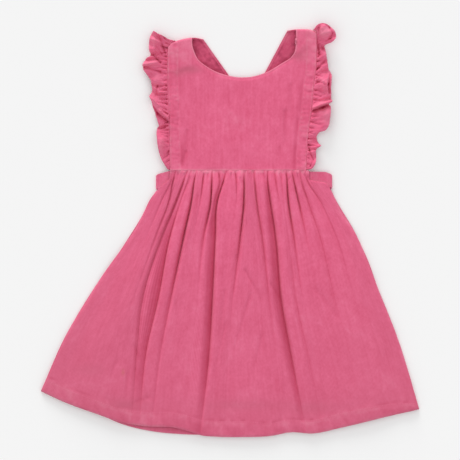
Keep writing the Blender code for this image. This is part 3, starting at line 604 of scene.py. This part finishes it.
SKIRT_WALL = 1.0
FRONT_LEVEL = 1.3  # underside of the front skirt where it lies flat on the back
CORE_WIDTH, CORE_DEPTH, CORE_AT_WAIST = 1.1, 0.3, 1.2  # the creased line in the bottom of each fold
WORN_ASIDE, WORN_WIDTH = 2.6, 0.9  # the worn lines beside it
WAIST_GAP, BAND_GAP = 0.05, 0.05  # from the edges of the bib and the waistband
AT_WAIST, AT_BAND = 5.3, 4.5  # heights of its outer face there
WAIST_PUFF, WAIST_REACH = 1.6, 30  # how much it rises below the waist seam, and how far down
SLIT_DEPTH = 1.4
HEM_STEP, HEM_GROOVE = 0.4, 0.55  # up at the turned hem, and down at its stitches
COLUMN_STEP, CROWDING = 1.75, 1.7
ROWS, ROW_CROWDING = 130, 1.35
GATHERS = Grain(1.3, 3.4, 40, 3), Grain(0.8, 1.9, 20, 13)
SKIRT_WAVES = Grain(0.7, 30, 110, 1), Grain(0.3, 11, 40, 2), Grain(0.12, 4.5, 7, 5)
STAIN_AT, STAIN_WIDE, STAIN_HIGH = Point(-141.5, -188.5), 1.6, 3.6
# How high the hem is turned up, from place to place
HEM_TURNS = points(
    (-251, 19), (-170, 17.5), (-40, 20), (20, 20.5), (60, 16.5), (150, 19), (215, 15), (251, 8),
)


def side_path(side):
    """The x of a side edge at each fold level, with its height falling evenly from its top to the hem."""
    return [float(x_at(side, side[0].y + (side[-1].y - side[0].y) * level)) for level in FOLD_LEVELS]


def side_below_waist(side):
    """The same with the height falling from the waist seam, up to which the edge runs on straight."""
    heights = [WAIST_SEAM + (side[-1].y - WAIST_SEAM) * level for level in FOLD_LEVELS]
    first, second = side[:2]
    above = (first.x - second.x) / (first.y - second.y)
    return [float(x_at(side, y)) if y < first.y else first.x + (y - first.y) * above for y in heights]


def front_columns():
    """Columns of the front skirt: the x at each fold level, and whether they start at the waist seam."""
    lines = [(*side_below_waist(SIDE_LEFT), 0), *((*fold.path, fold.gathered) for fold in FOLDS)]
    lines = np.array([*lines, (*side_below_waist(SIDE_RIGHT), 0)], float)
    columns = []
    for line, following in zip(lines, lines[1:]):
        both = line[-1] == following[-1]
        parts = max(int(math.ceil(np.max((following - line)[2:-1]) / COLUMN_STEP)), 2) if both else 3
        twice = 2 * np.arange(parts) / parts
        shares = np.where(twice < 1, twice**CROWDING, 2 - (2 - twice) ** CROWDING) / 2
        columns += [line + (following - line) * share for share in shares]
    return np.array([*columns, lines[-1]])


def column_starts(paths, hem, gathered):
    """The level at which each column starts: at the waist seam, or under the waistband beside the bib."""
    start = np.zeros(len(paths))
    for _ in range(8):
        x = np.array([float(hermite(FOLD_LEVELS, path, level)) for path, level in zip(paths, start)])
        low = [band_edges(band, x)[0] for band in (BAND_FRONT_LEFT, BAND_FRONT_RIGHT)]
        start = (1 - gathered) * (WAIST_SEAM - np.where(x < 0, *low) + BAND_GAP) / (WAIST_SEAM - hem)
    return start


def fold_heights(x, level, loft, below):
    """Height of the cloth between the skirt's folds, and how much shade is painted into them, less the
    rubbed lines beside them.
    """
    spread = hermite(FOLD_LEVELS, FOLD_SPREAD, level)
    stands, ridges, core, rubbed, shade_pool = 1.0, 0.0, 0.0, 0.0, 0.0
    for fold in FOLDS:
        centre = hermite(FOLD_LEVELS, fold.path, level)
        depth = np.clip(hermite(FOLD_LEVELS, fold.depth, level), 0, 1)
        aside = np.abs(x - centre)
        away = np.clip(aside / (np.where(x < centre, fold.left, fold.right) * spread), 0, 1)
        stands = stands * (1 - depth * (1 - away) ** 2)
        shade_pool = np.maximum(shade_pool, depth * eased(1.7 * (1 - away)) * (x < centre + 0.8))
        core = core + depth * np.exp(-((aside / CORE_WIDTH) ** 1.5))
        rubbed = rubbed + depth * bump(aside - WORN_ASIDE, WORN_WIDTH)
        reach = 1.6 * fold.right * spread
        ridge = 0.3 * fold.ridge * depth * eased(below / 60)
        ridges = ridges + ridge * (1 - eased(np.abs(x - centre - reach) / reach))
    core = np.minimum(core, 1) * (1 - 0.55 * eased((below - 110) / 110)) * (0.4 + 0.6 * eased(below / 20))
    height = loft * stands + ridges - (CORE_DEPTH + CORE_AT_WAIST * bump(below, WAIST_REACH)) * core
    rubbed = np.minimum(rubbed, 1) * (1 - core) * (1 - 0.7 * eased((below - 80) / 120))
    # Painted shade, deepest in the folds' cores and in the broad pools on their left
    painted_shade = 0.1 * (1 - stands) + 0.1 * core + 0.37 * shade_pool * eased(below / 30)
    return height, painted_shade - 0.25 * rubbed * eased((200 - below) / 80)


def seam_waver(x):
    """How far the waist seam strays up and down between its ends."""
    return 0.5 * noise(x, 0, 4.5, 1, 50) * eased((x + 79) / 8) * eased((101 - x) / 8)


def skirt_front():
    columns = front_columns()
    paths, gathered = columns[:, :-1], columns[:, -1]
    hem = y_at(HEM_FRONT, paths[:, -1])
    start = column_starts(paths, hem, gathered)[:, None]
    hem, gathered = hem[:, None], gathered[:, None]
    level = start + (1 - start) * np.sort(np.linspace(0, 1, ROWS) ** ROW_CROWDING)[::-1]
    x = np.array([hermite(FOLD_LEVELS, path, along) for path, along in zip(paths, level)])
    y = WAIST_SEAM + (hem - WAIST_SEAM) * level
    left = x_at(SIDE_LEFT, np.minimum(y, SIDE_LEFT[0].y))
    right = x_at(SIDE_RIGHT, np.minimum(y, SIDE_RIGHT[0].y))
    to_side = np.maximum(np.minimum(x - left, right - x), 0)
    below, to_hem = WAIST_SEAM - y, y - hem

    loft = hermite(LOFT_BELOW, LOFT_HEIGHT, below) * (0.3 + 0.7 * eased(to_side / 75))
    z, painted_shade = fold_heights(x, level, loft, below)
    slits = creased(x, y, SKIRT_CREASES)
    # Gathers puff out under the waist seam, no two alike, and soft waves run down the skirt
    z = z - SLIT_DEPTH * slits + bump(below - 4, 9) * uneven(x, y, *GATHERS)
    z = z + eased(to_side / 25) * eased(below / 25) * uneven(x, y, *SKIRT_WAVES)
    # The turned-up hem is two layers thick, held by a line of stitches that puckers it
    turn = y_at(HEM_TURNS, x)
    in_hem = eased((turn + 1.5 - to_hem) / 1.5)
    puckers = noise(x + 0.6 * to_hem, y, 5.5, 40, 9)
    on_hem = HEM_STEP + 0.3 * puckers + 0.2 * noise(x, y, 15, 12, 17)
    groove = HEM_GROOVE * bump(to_hem - turn, 1.2) * (0.75 + 0.25 * noise(x, y, 4, 50, 7))
    z = z + on_hem * in_hem * eased(to_side / 8) - groove
    z = np.maximum(z, -CORE_DEPTH - CORE_AT_WAIST * bump(below, WAIST_REACH))
    flat = FRONT_LEVEL + SKIRT_WALL + 1.0 * rounded(to_side, 7) + WAIST_PUFF * bump(below, WAIST_REACH)
    z = flat + z * rounded(to_side, 9) - 0.4 * (1 - rounded(to_hem, 1.2))
    # It dips to its seams with the bib and the waistband
    from_start = (level - start) * (WAIST_SEAM - hem)
    at_start = gathered * AT_WAIST + (1 - gathered) * AT_BAND
    z = at_start + (z - at_start) * eased((from_start + 0.4) / 2.4)
    to_bib = BIB_BOTTOM[0].y + seam_waver(x) - WAIST_GAP - WAIST_SEAM
    y = y + gathered * to_bib * (1 - eased(from_start / 4))

    # Paler along the hem, the turned hem, the sides and below the waist seam; painted shade in short marks
    # along the hem stitches, in the folds and in the creases, and painted light and shade on the hem's
    # puckers
    stitch_shade = np.clip(0.45 + 1.1 * noise(x, y, 7, 30, 18), 0, 1) * eased(to_side / 6)
    wear_and_shading = 0.5 * bump(to_hem, 1.8) + 0.3 * bump(to_hem - turn + 3, 3.0) + 0.35 * bump(to_side, 2)
    wear_and_shading = wear_and_shading + 0.7 * bump(below - 1.0, 3.0) * (1 + 0.9 * noise(x, y, 1.5, 4, 19))
    wear_and_shading = wear_and_shading - 0.4 * bump(to_hem - turn - 0.8, 1.3) * stitch_shade + 0.25 * in_hem * puckers
    wear_and_shading = wear_and_shading - painted_shade - 0.25 * slits
    uv = joined(0.85 * paths[:, -1:] + 0.15 * paths[:, :1], y)
    skirt = cloth("front_skirt", joined(x, y, z), uv, SKIRT_WALL, -1, wear_and_shading, "skirt_front")
    from_stain = np.hypot((x - STAIN_AT.x) / STAIN_WIDE, (y - STAIN_AT.y) / STAIN_HIGH)
    store(skirt.data, "stain", 0.6 * bump(from_stain, 1.0))
    return skirt


# ---------------- the back skirt

BACK_HEM = 17  # how high its hem is turned up
BACK_WAVES = 0.8  # how far its cloth stands off the surface at most


def skirt_back():
    across, share = spaced(500, 3.5)[:, None], np.linspace(1, 0, 120)
    left, right = np.array(side_path(SIDE_LEFT)), np.array(side_path(SIDE_RIGHT))
    top = band_edges(BAND_BACK, left[0] + (right[0] - left[0]) * across)[0] - 0.3
    hem = y_at(HEM_BACK, left[-1] + (right[-1] - left[-1]) * across)
    from_left, from_right = hermite(FOLD_LEVELS, left, share), hermite(FOLD_LEVELS, right, share)
    x = from_left + (from_right - from_left) * across
    y = top + (hem - top) * share
    to_hem, to_band, to_side = y - hem, top - y, np.minimum(x - from_left, from_right - x)
    # Gathers of the elastic waist, pressed flat where they lie on the surface, and long soft troughs below
    gathers = 0.6 * np.maximum(noise(x, y, 5, 60, 40), 0) * bump(to_band, 45)
    troughs = 0.8 * np.maximum(noise(x, y, 24, 150, 41) - 0.25, 0)
    troughs = troughs * eased(to_band / 60) * eased(to_hem / 40)
    z = np.minimum(gathers + troughs, BACK_WAVES) * eased(to_side / 60)
    # The hem's turned edge stands up a little where the front leaves it bare
    past_front = y_at(HEM_FRONT, np.clip(x, -251, 251)) - y
    z = z + 0.9 * eased((past_front + 0.4) / 1.6) + 0.25 * bump(to_hem - BACK_HEM, 1.0)
    wear_and_shading = 0.35 * bump(to_hem, 2.0) + 0.3 * bump(to_band, 2.0)
    return cloth("back_skirt", joined(x, y, z), joined(x, y), SKIRT_WALL, 1, wear_and_shading, "skirt_back")


# ---------------- the bib

BIB_WALL = 1.6
BIB_LEVEL = 5.4
SHOULDER_RADIUS = 3.5
SHOULDER_TURN = np.radians((78, 66, 55, 44, 34, 25, 17, 10))  # above the middle of the shoulder fold
FACING = 13.0  # width of the stitched strips beside the armholes
NECK_STITCH, EDGE_STITCH = 2.6, 2.4  # lines of stitches from the neckline and from the other edges
BIB_WAVES = Grain(0.5, 26, 60, 4), Grain(0.2, 11, 26, 6), Grain(0.07, 4, 8, 8)


def bib_top(share):
    neck_share = (share - BIB_STRAP_SHARE) / (1 - 2 * BIB_STRAP_SHARE)
    left = curve(SHOULDER_LEFT, np.clip(share / BIB_STRAP_SHARE, 0, 1))
    right = curve(SHOULDER_RIGHT, np.clip((share - 1 + BIB_STRAP_SHARE) / BIB_STRAP_SHARE, 0, 1))
    neck = curve(NECKLINE, np.clip(neck_share, 0, 1))
    on_left, on_right = (share < BIB_STRAP_SHARE)[:, None], (share > 1 - BIB_STRAP_SHARE)[:, None]
    return np.where(on_left, left, np.where(on_right, right, neck))


def to_shoulder_fold(length, count):
    """Shares of each column's length, closer at its top where the cloth turns over the shoulder, and
    how high they are on that turn."""
    body = np.linspace(0, 1, count) * (1 - SHOULDER_RADIUS / length)[:, None]
    rim = 1 - SHOULDER_RADIUS * (1 - np.cos(SHOULDER_TURN)) / length[:, None]
    return np.concatenate([body, rim], axis=1), np.concatenate([np.ones(count), np.sin(SHOULDER_TURN)])


def bib():
    edge = BIB_STRAP_SHARE
    stretches = np.linspace(0, edge, 26), np.linspace(edge, 1 - edge, 130), np.linspace(1 - edge, 1, 24)
    across = np.concatenate([stretches[0][:-1], stretches[1][:-1], stretches[2]])
    top, bottom = bib_top(across), curve(BIB_BOTTOM, across)
    up, turned = to_shoulder_fold(np.linalg.norm(top - bottom, axis=1), 150)
    a, t = across[:, None, None], up[:, :, None]
    top_left, top_right = curve(BIB_LEFT, 1.0), curve(BIB_RIGHT, 1.0)
    corners = (1 - t) * ((1 - a) * bottom[0] + a * bottom[-1]) + t * ((1 - a) * top_left + a * top_right)
    sides = (1 - a) * curve(BIB_LEFT, up) + a * curve(BIB_RIGHT, up)
    x, y = np.moveaxis(sides + (1 - t) * bottom[:, None] + t * top[:, None] - corners, -1, 0)
    y = y + seam_waver(x) * (1 - eased((y - WAIST_SEAM) / 5))

    to_shoulder = np.minimum(distance_to(SHOULDER_LEFT, x, y), distance_to(SHOULDER_RIGHT, x, y))
    to_side = np.minimum(distance_to(BIB_LEFT, x, y), distance_to(BIB_RIGHT, x, y))
    to_neck, to_waist = distance_to(NECKLINE, x, y), y - WAIST_SEAM
    z = BIB_LEVEL + (2 * SHOULDER_RADIUS - BIB_LEVEL) * (1 - eased(to_shoulder / 60))
    z = z - 0.8 * (1 - eased(to_neck / 6))
    # Soft unevenness of the worn cloth, with a few pressed creases
    creases = creased(x, y, BIB_CREASES, 2.0)
    calm = eased(to_side / 6) * eased(to_waist / 6) * eased(to_neck / 5)
    z = z + calm * (uneven(x, y, *BIB_WAVES) - creases)
    # Puckers across the stitched strips beside the armholes
    strip = eased((FACING + 1.5 - to_side) / 2.5) * eased(to_waist / 4)
    puckers = strip * (0.7 * noise(x + 0.5 * y, y, 8, 2.7, 10) + 0.5 * noise(x, y + 0.3 * x, 30, 4.6, 51))
    groove = eased((222 - y) / 30) * np.clip(0.7 + 1.1 * noise(x, y, 60, 24, 16), 0, 1)
    z = z + 0.5 * puckers - 0.5 * bump(to_side - FACING - 0.6, 1.8) * groove
    # Topstitched edges, rolled down a little
    z = z + 0.15 * bump(to_waist - 0.9, 1.0) * noise(x, y, 2.6, 50, 14)
    z = z - 0.3 * bump(to_neck - NECK_STITCH, 0.8)
    for distance, roll, radius in ((to_side, 0.4, 1.2), (to_waist, 0.1, 1.0)):
        z = z - 0.2 * bump(distance - EDGE_STITCH, 0.8) - roll * (1 - rounded(distance, radius))
    z = z - 0.5 * (1 - rounded(to_neck, 1.2))
    on_shoulder = ((across <= edge + 1e-9) | (across >= 1 - edge - 1e-9))[:, None]
    z = np.where(on_shoulder, SHOULDER_RADIUS + (z - SHOULDER_RADIUS) * turned, z)

    # Paler along the edges, at the strips' stitches, near the shoulders and in the strips; painted light
    # and shade on the strips' puckers, and painted shade in the groove beside the strips and in the creases
    wear_and_shading = 0.9 * bump(to_neck, 1.6) + 0.9 * bump(to_waist - 0.4, 1.8) + 0.5 * bump(to_side, 1.8)
    wear_and_shading = wear_and_shading + 0.3 * bump(to_side - FACING, 1.5) + 0.42 * bump(to_shoulder, 30) + 0.4 * puckers
    wear_and_shading = wear_and_shading + 0.1 * strip - 0.3 * bump(to_side - FACING - 2.5, 3.5) * groove - 0.3 * creases
    wear_and_shading = wear_and_shading + patches(x, y, BIB_FADES)
    return cloth("bib_front", joined(x, y, z), joined(x, y), BIB_WALL, -1, wear_and_shading, "bib")


# ---------------- the straps

STRAP_WALL = 1.6
STRAP_GROOVE = 5  # from its edges
OVER_HEIGHT, OVER_REACH = 1.9, 37  # how the upper strap rises over the lower one


def crossing():
    """Where the middles of the two straps cross."""
    (a, b), (c, d) = ((curve(s.shoulder, 0.5), np.add(s.left, s.right) / 2) for s in STRAPS.values())
    return a + (b - a) * np.linalg.solve(np.stack([b - a, c - d], 1), c - a)[0]


def strap(name):
    row = STRAPS[name]
    across = spaced(35, 1.6)
    step = np.subtract(row.right, row.left)
    width = np.linalg.norm(step)
    shoulder_end, waist_end = curve(row.shoulder, across), row.left + step * across[:, None]
    length = np.linalg.norm(shoulder_end - waist_end, axis=1)
    up, turned = to_shoulder_fold(length, 120)
    x, y = np.moveaxis(waist_end[:, None] + (shoulder_end - waist_end)[:, None] * up[..., None], -1, 0)
    to_edge = np.minimum(across, 1 - across)[:, None] * width
    z = SHOULDER_RADIUS * (1 - turned) + 0.2 * (1 - bump(to_edge - STRAP_GROOVE, 1.2))
    if row.over:
        middle = crossing()
        z = z + OVER_HEIGHT * (1 - eased((np.hypot(x - middle[0], y - middle[1]) - OVER_REACH) / 24))
    # Paler along its turned edges, with painted shade in its grooves and under the edge of the bib's
    # neckline
    wear_and_shading = 0.9 * bump(to_edge, 3) - 0.3 * bump(to_edge - STRAP_GROOVE, 1.3)
    wear_and_shading = wear_and_shading - 0.3 * bump(distance_to(NECKLINE, x, y), 6)
    wear_and_shading = wear_and_shading + 0.3 * noise(x, y, 3, 3, 60) + 0.3 * noise(x, y, 9, 12, 61)
    uv = joined(across[:, None] * width, up * length[:, None])
    return cloth(name + "_cloth", joined(x, y, z), uv, STRAP_WALL, 1, wear_and_shading, name, inside=True)


# ---------------- the waistband

BAND_RADIUS, BAND_CORNER = 2.2, 3.0
BAND_WALL = 1.6
BAND_WIDTH = 18
BAND_TUCK = 2.4  # how far its inner ends slip under the skirt's first gathers


def waistband():
    left, right = BAND_BACK[0].x + BAND_RADIUS, BAND_BACK[-1].x - BAND_RADIUS
    left_end, right_end = BAND_FRONT_LEFT[-1].x + BAND_TUCK, BAND_FRONT_RIGHT[0].x - BAND_TUCK
    turn = np.linspace(0, math.pi, 13)[1:-1]
    out, up = BAND_RADIUS * np.sin(turn), BAND_RADIUS * np.cos(turn)
    stretches = (
        (BAND_FRONT_LEFT, np.linspace(left_end, left, 20), np.full(20, 2 * BAND_RADIUS)),
        (BAND_FRONT_LEFT, left - out, BAND_RADIUS + up),
        (BAND_BACK, np.linspace(left, right, 190), np.zeros(190)),
        (BAND_FRONT_RIGHT, right + out, BAND_RADIUS - up),
        (BAND_FRONT_RIGHT, np.linspace(right, right_end, 30), np.full(30, 2 * BAND_RADIUS)),
    )
    x, z = np.hstack([stretch[1:] for stretch in stretches])[..., None]
    low, high = np.hstack([band_edges(band, at) for band, at, _ in stretches])[..., None]
    # The outer corners are rounded
    corner = 1 - rounded(np.minimum(x - BAND_BACK[0].x, BAND_BACK[-1].x - x), BAND_CORNER)
    low, high = low + 0.7 * corner, high - 2.0 * corner
    share = spaced(BAND_WIDTH, 1.3, 1.4)
    along = run_along(np.hstack([x, z]))[:, None]
    y = low + (high - low) * share
    ripple = noise(along, BAND_WIDTH * share, 4.2, 20, 12) * eased(4 * np.minimum(share, 1 - share))
    from_end = np.minimum(np.abs(x - left_end), np.abs(x - right_end))
    front = 0.25 + 0.25 * ripple - 1.2 * (1 - eased(from_end / 5))
    z = z + np.where(z > BAND_RADIUS, front, 0.15 + 0.15 * ripple)
    # Paler along its edges and all over, with painted light and shade following its ripples
    wear_and_shading = 0.5 * bump(np.minimum(share, 1 - share) * BAND_WIDTH, 1.5) + 0.2 + 0.2 * ripple
    uv = joined(along * 1.5, y)
    return cloth("waistband_casing", joined(x, y, z), uv, BAND_WALL, 1, wear_and_shading, "waistband")


# ---------------- the ruffles

PUFFS = table(
    Puff,
    (125, 261.5, 8, 3.2), (128, 231, 6, 1.6), (124.5, 196, 7, 1.2), (122, 150, 8, 1.4),
    (-99, 250, 6, 1.6), (-106, 216, 7, 1.6), (-97, 183, 6, 1.2), (-92, 112, 8, 1.2),
)
RUFFLE_WIDTH, RUFFLE_WALL = 24.0, 1.0
PER_WAVE = 11  # columns of points from one row of its waves to the next
RUFFLE_INSET = 0.27  # from its seam line towards the bib
AT_BIB, ROOT_HEIGHT = 5.1, 5.4  # height of its outer face at the seam, and of its gathers beside it
CREASE_DEPTH, RIDGE_HEIGHT, LIP_HEIGHT = 1.7, 1.4, 1.5
PUCKERS, LOWEST = 1.7, 1.2
RUFFLES = table(
    Ruffle,
    ("ruffle_left", RUFFLE_SEAM_LEFT, RUFFLE_LEFT, False, 20, 236,
     LEFT_CREASES, LEFT_RIDGES, LEFT_LIPS),
    ("ruffle_right", RUFFLE_SEAM_RIGHT, RUFFLE_RIGHT, True, 30, 255,
     RIGHT_CREASES, RIGHT_RIDGES, RIGHT_LIPS),
)


def ruffle_lines(row, at):
    """Along a ruffle: the seam's y, places on the seam and the outer edge, and the waves' height."""
    waves = hermite(np.arange(len(row.waves)), row.waves, at)
    low, high = row.seam[0].y, row.seam[-1].y
    root = curve(row.seam, np.clip((waves[:, 0] - low) / (high - low), 0, 1))
    return waves[:, :1], root, waves[:, 1:3], waves[:, 3:]


def ruffle(row):
    steps = len(row.waves) - 1
    at = np.linspace(0, steps, steps * PER_WAVE + 1)
    seam_y, root, edge, crest = ruffle_lines(row, at[::-1] if row.mirrored else at)
    out = np.concatenate([[-RUFFLE_INSET / RUFFLE_WIDTH], spaced(RUFFLE_WIDTH, 0.55, 1.5)])
    o = np.maximum(out, 0)
    x, y = np.moveaxis(root[:, None] + (edge - root)[:, None] * o[:, None], -1, 0)
    on_side = 1 - eased((root[:, 1:] - row.tuck_ends) / 6)
    inwards = RUFFLE_WIDTH if row.mirrored else -RUFFLE_WIDTH
    x = x + inwards * on_side * np.minimum(out, 0)
    z = ROOT_HEIGHT + (np.maximum(crest, 1.5) * 1.1 - ROOT_HEIGHT) * eased(o * 1.1) + np.sin(math.pi * o)
    creases, ridges = creased(x, y, row.creases), creased(x, y, row.ridges, 2.0, 0.8)
    lips = lipped(x, y, row.lips)
    puffed = sum(puff.height * bump(np.hypot(x - puff.x, y - puff.y), puff.reach) for puff in PUFFS)
    z = z - CREASE_DEPTH * creases + RIDGE_HEIGHT * ridges + LIP_HEIGHT * lips + puffed
    # Small gathers bunch up along the seam and die out towards the edge
    pucker = noise(seam_y + 2 * o, o * 10, 1.9, 5, row.layer)
    pucker = pucker + 0.6 * noise(seam_y - 3 * o, o * 10, 1.1, 4, row.layer + 1)
    pucker = pucker * np.exp(-o * 3) * eased(o * 9)
    z = z + PUCKERS * pucker
    wrinkles = Grain(0.45, 5, 5, row.layer + 2), Grain(0.2, 2.2, 2.4, row.layer + 3)
    z = z + eased(o * 3) * uneven(x, y, *wrinkles)
    seam_dip = on_side * (1 - eased((out * RUFFLE_WIDTH + 0.4) / 1.6))
    z = np.maximum(z, LOWEST) * (1 - seam_dip) + AT_BIB * seam_dip
    # Paler at the outer edge and all over; painted highlight on the ridges and puffs, painted shade in the
    # creases and under the lips, and painted light and shade on the puckers
    wear_and_shading = 0.15 + 0.7 * bump((1 - o) * RUFFLE_WIDTH, 1.2) + 0.2 * ridges + 0.12 * puffed - 0.3 * creases
    wear_and_shading = wear_and_shading - 0.3 * np.maximum(-lips, 0) + np.where(pucker < 0, 0.5, 0.3) * pucker
    uv = joined(run_along(edge)[:, None] * 1.2, out * 28)
    return cloth(row.name + "_frill", joined(x, y, z), uv, RUFFLE_WALL, -1, wear_and_shading, row.name)


BACK_SKIRT, WAISTBAND = skirt_back(), waistband()
STRAP_CLOTHS = LEFT_STRAP, RIGHT_STRAP = [strap(name) for name in STRAPS]
FRONT_SKIRT, BIB = skirt_front(), bib()
FRILLS = LEFT_FRILL, RIGHT_FRILL = [ruffle(row) for row in RUFFLES]

# ---------------- sewing

STITCH, PITCH, THREAD_RADIUS, SIDES = 2.2, 3.0, 0.22, 6
PROUD, PROUD_BELOW = 0.05, 0.1  # how far a thread's middle stands off the cloth above, and its side below
RING_SIZES = np.array((0.5, 0.9, 1, 0.9, 0.5))  # from end to end of a stitch
RING_SUNK = np.array((0.25, 0.05, 0, 0.05, 0.25))
FROM_EDGE = 1.8  # lines of stitches from the edges of the band, the ruffles and the armholes
HEM_ENDS = np.linspace(-246, 247, 400)


def moved(line, amount, start=0.02, end=0.98, count=160):
    """A stretch of a smooth line moved to its left by an amount."""
    line = curve(line, np.linspace(start, end, count))
    ahead = np.gradient(line, axis=0)
    ahead /= np.linalg.norm(ahead, axis=1, keepdims=True)
    return line + amount * joined(-ahead[:, 1], ahead[:, 0])


def stitch_points(tree, x, y, below):
    """Rings of points round the thread of one stitch, or none where it would miss the cloth."""
    down = -1 if below else 1
    starts = [Vector((a * MM, b * MM, down * 0.05)) for a, b in zip(x, y)]
    hits = [tree.ray_cast(start, Vector((0, 0, -down)))[0] for start in starts]
    if None in hits:
        return []
    away = PROUD_BELOW - THREAD_RADIUS if below else PROUD
    z = np.array([hit.z for hit in hits]) / MM + down * (away - RING_SUNK)
    ahead = math.atan2(y[-1] - y[0], x[-1] - x[0])
    turns = np.arange(SIDES) * 2 * math.pi / SIDES
    aside, up = (THREAD_RADIUS * RING_SIZES[:, None] * part(turns) for part in (np.cos, np.sin))
    x, y, z = x[:, None] - math.sin(ahead) * aside, y[:, None] + math.cos(ahead) * aside, z[:, None] + up
    return joined(x, y, z).reshape(-1, 3).tolist()


def stitch_faces(first):
    """Faces round the thread of the stitch whose points start there, and its two ends."""
    last = first + SIDES * (len(RING_SIZES) - 1)
    faces = [
        (ring + k, ring + (k + 1) % SIDES, ring + SIDES + (k + 1) % SIDES, ring + SIDES + k)
        for ring in range(first, last, SIDES) for k in range(SIDES)
    ]
    return [*faces, tuple(range(first + SIDES - 1, first - 1, -1)), tuple(range(last, last + SIDES))]


def sewn(name, piece, lines, below=False):
    """Rows of stitches along lines in plan, on the upper or lower face of a piece, as one mesh."""
    tree = BVHTree.FromObject(piece, bpy.context.evaluated_depsgraph_get())
    vertices, faces = [], []
    for line in lines:
        line = np.array(line, float)
        run = run_along(line)
        for start in np.arange(0.4, run[-1] - STITCH, PITCH):
            at = np.linspace(start, start + STITCH, len(RING_SIZES))
            rings = stitch_points(tree, *(np.interp(at, run, line[:, k]) for k in (0, 1)), below)
            if rings:
                faces += stitch_faces(len(vertices))
                vertices += rings
    mesh = bpy.data.meshes.new(name)
    mesh.from_pydata((np.array(vertices) * MM).tolist(), [], faces)
    mesh.shade_smooth()
    mesh.materials.append(THREAD)
    rows = placed(name, mesh)
    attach(rows, "root")
    return rows


def over(*bands):
    """Lines along both edges of parts of the waistband."""
    lines = []
    for band in bands:
        x = np.linspace(band[0].x + 1, band[-1].x - 1, 60)
        low, high = band_edges(band, x)
        lines += [joined(x, low + FROM_EDGE), joined(x, high - FROM_EDGE)]
    return lines


def ruffle_hem(row):
    """The line just inside a ruffle's outer edge."""
    _, root, edge, _ = ruffle_lines(row, np.linspace(0, len(row.waves) - 1, 400))
    return root + (edge - root) * (1 - FROM_EDGE / RUFFLE_WIDTH)


def strap_edges(name):
    """Straight lines beside both edges of a strap, less their ends."""
    row, lines = STRAPS[name], []
    for share in (0.07, 0.93):
        top, bottom = curve(row.shoulder, share), row.left + np.subtract(row.right, row.left) * share
        lines.append([top + (bottom - top) * end for end in (0.02, 0.98)])
    return lines


bpy.context.view_layer.update()
front_hem = joined(HEM_ENDS, y_at(HEM_FRONT, HEM_ENDS) + y_at(HEM_TURNS, HEM_ENDS))
back_hem = joined(HEM_ENDS, y_at(HEM_BACK, HEM_ENDS) + BACK_HEM)
waist_line = [Point(x, BIB_BOTTOM[0].y + 1.5) for x in (-78, -20, 40, 100)]
bib_lines = [moved(NECKLINE, -NECK_STITCH), waist_line]
for side, inwards in ((BIB_LEFT, -1), (BIB_RIGHT, 1)):
    bib_lines += [moved(side, inwards * FACING, end=0.99), moved(side, inwards * FROM_EDGE)]
SEWN = {}
for piece, name, lines, below in (
    (BIB, "bib", bib_lines, False),
    (FRONT_SKIRT, "hem_front", [front_hem], False),
    (BACK_SKIRT, "hem_back", [back_hem], True),
    (WAISTBAND, "band_front", over(BAND_FRONT_LEFT, BAND_FRONT_RIGHT), False),
    (WAISTBAND, "band_back", over(BAND_BACK), True),
    *((frill, row.name, [ruffle_hem(row)], False) for frill, row in zip(FRILLS, RUFFLES)),
    *((piece, name, strap_edges(name), False) for piece, name in zip(STRAP_CLOTHS, STRAPS)),
    *((piece, name + "_back", strap_edges(name), True) for piece, name in zip(STRAP_CLOTHS, STRAPS)),
):
    SEWN.setdefault(piece.name, []).append(sewn("stitches_" + name, piece, lines, below))

# ---------------- floor, light and camera, in metres

FLOOR_REACH, FLOOR_COLOUR = 6, (0.935, 0.935, 0.935, 1)
SKY_STRENGTH, SUN_STRENGTH, SUN_ANGLE = 0.858, 1.68, math.radians(24)
SUN_FROM = Vector((-0.2, 0.955, 0.22))
CAMERA_HEIGHT, VIEW_WIDTH, SENSOR = 2.2, 0.6118, 36.0
scene = bpy.context.scene

floor_mesh = bpy.data.meshes.new("floor")
corners = [(x * FLOOR_REACH, y * FLOOR_REACH, 0) for x, y in ((-1, -1), (1, -1), (1, 1), (-1, 1))]
floor_mesh.from_pydata(corners, [], [(0, 1, 2, 3)])
floor = placed("floor", floor_mesh)
paper, _, paper_shader = new_material("floor_paper")
for key, value in (("Base Color", FLOOR_COLOUR), ("Roughness", 1.0), ("Specular IOR Level", 0.0)):
    paper_shader.inputs[key].default_value = value
floor_mesh.materials.append(paper)
floor.location.z = -0.0002

scene.world = bpy.data.worlds.new("studio")
scene.world.use_nodes = True
sky = scene.world.node_tree.nodes["Background"]
sky.inputs["Color"].default_value = (1, 1, 1, 1)
sky.inputs["Strength"].default_value = SKY_STRENGTH

sun = bpy.data.lights.new("window", "SUN")
sun.energy, sun.angle = SUN_STRENGTH, SUN_ANGLE
placed("window", sun).rotation_euler = SUN_FROM.to_track_quat("Z", "Y").to_euler()

camera = bpy.data.cameras.new("camera")
camera.sensor_fit, camera.sensor_width = "HORIZONTAL", SENSOR
camera.lens = SENSOR * CAMERA_HEIGHT / VIEW_WIDTH
camera.clip_start, camera.clip_end = 0.05, 20
scene.camera = placed("camera", camera)
scene.camera.location = (0, 0, CAMERA_HEIGHT)
scene.view_settings.view_transform = "Standard"
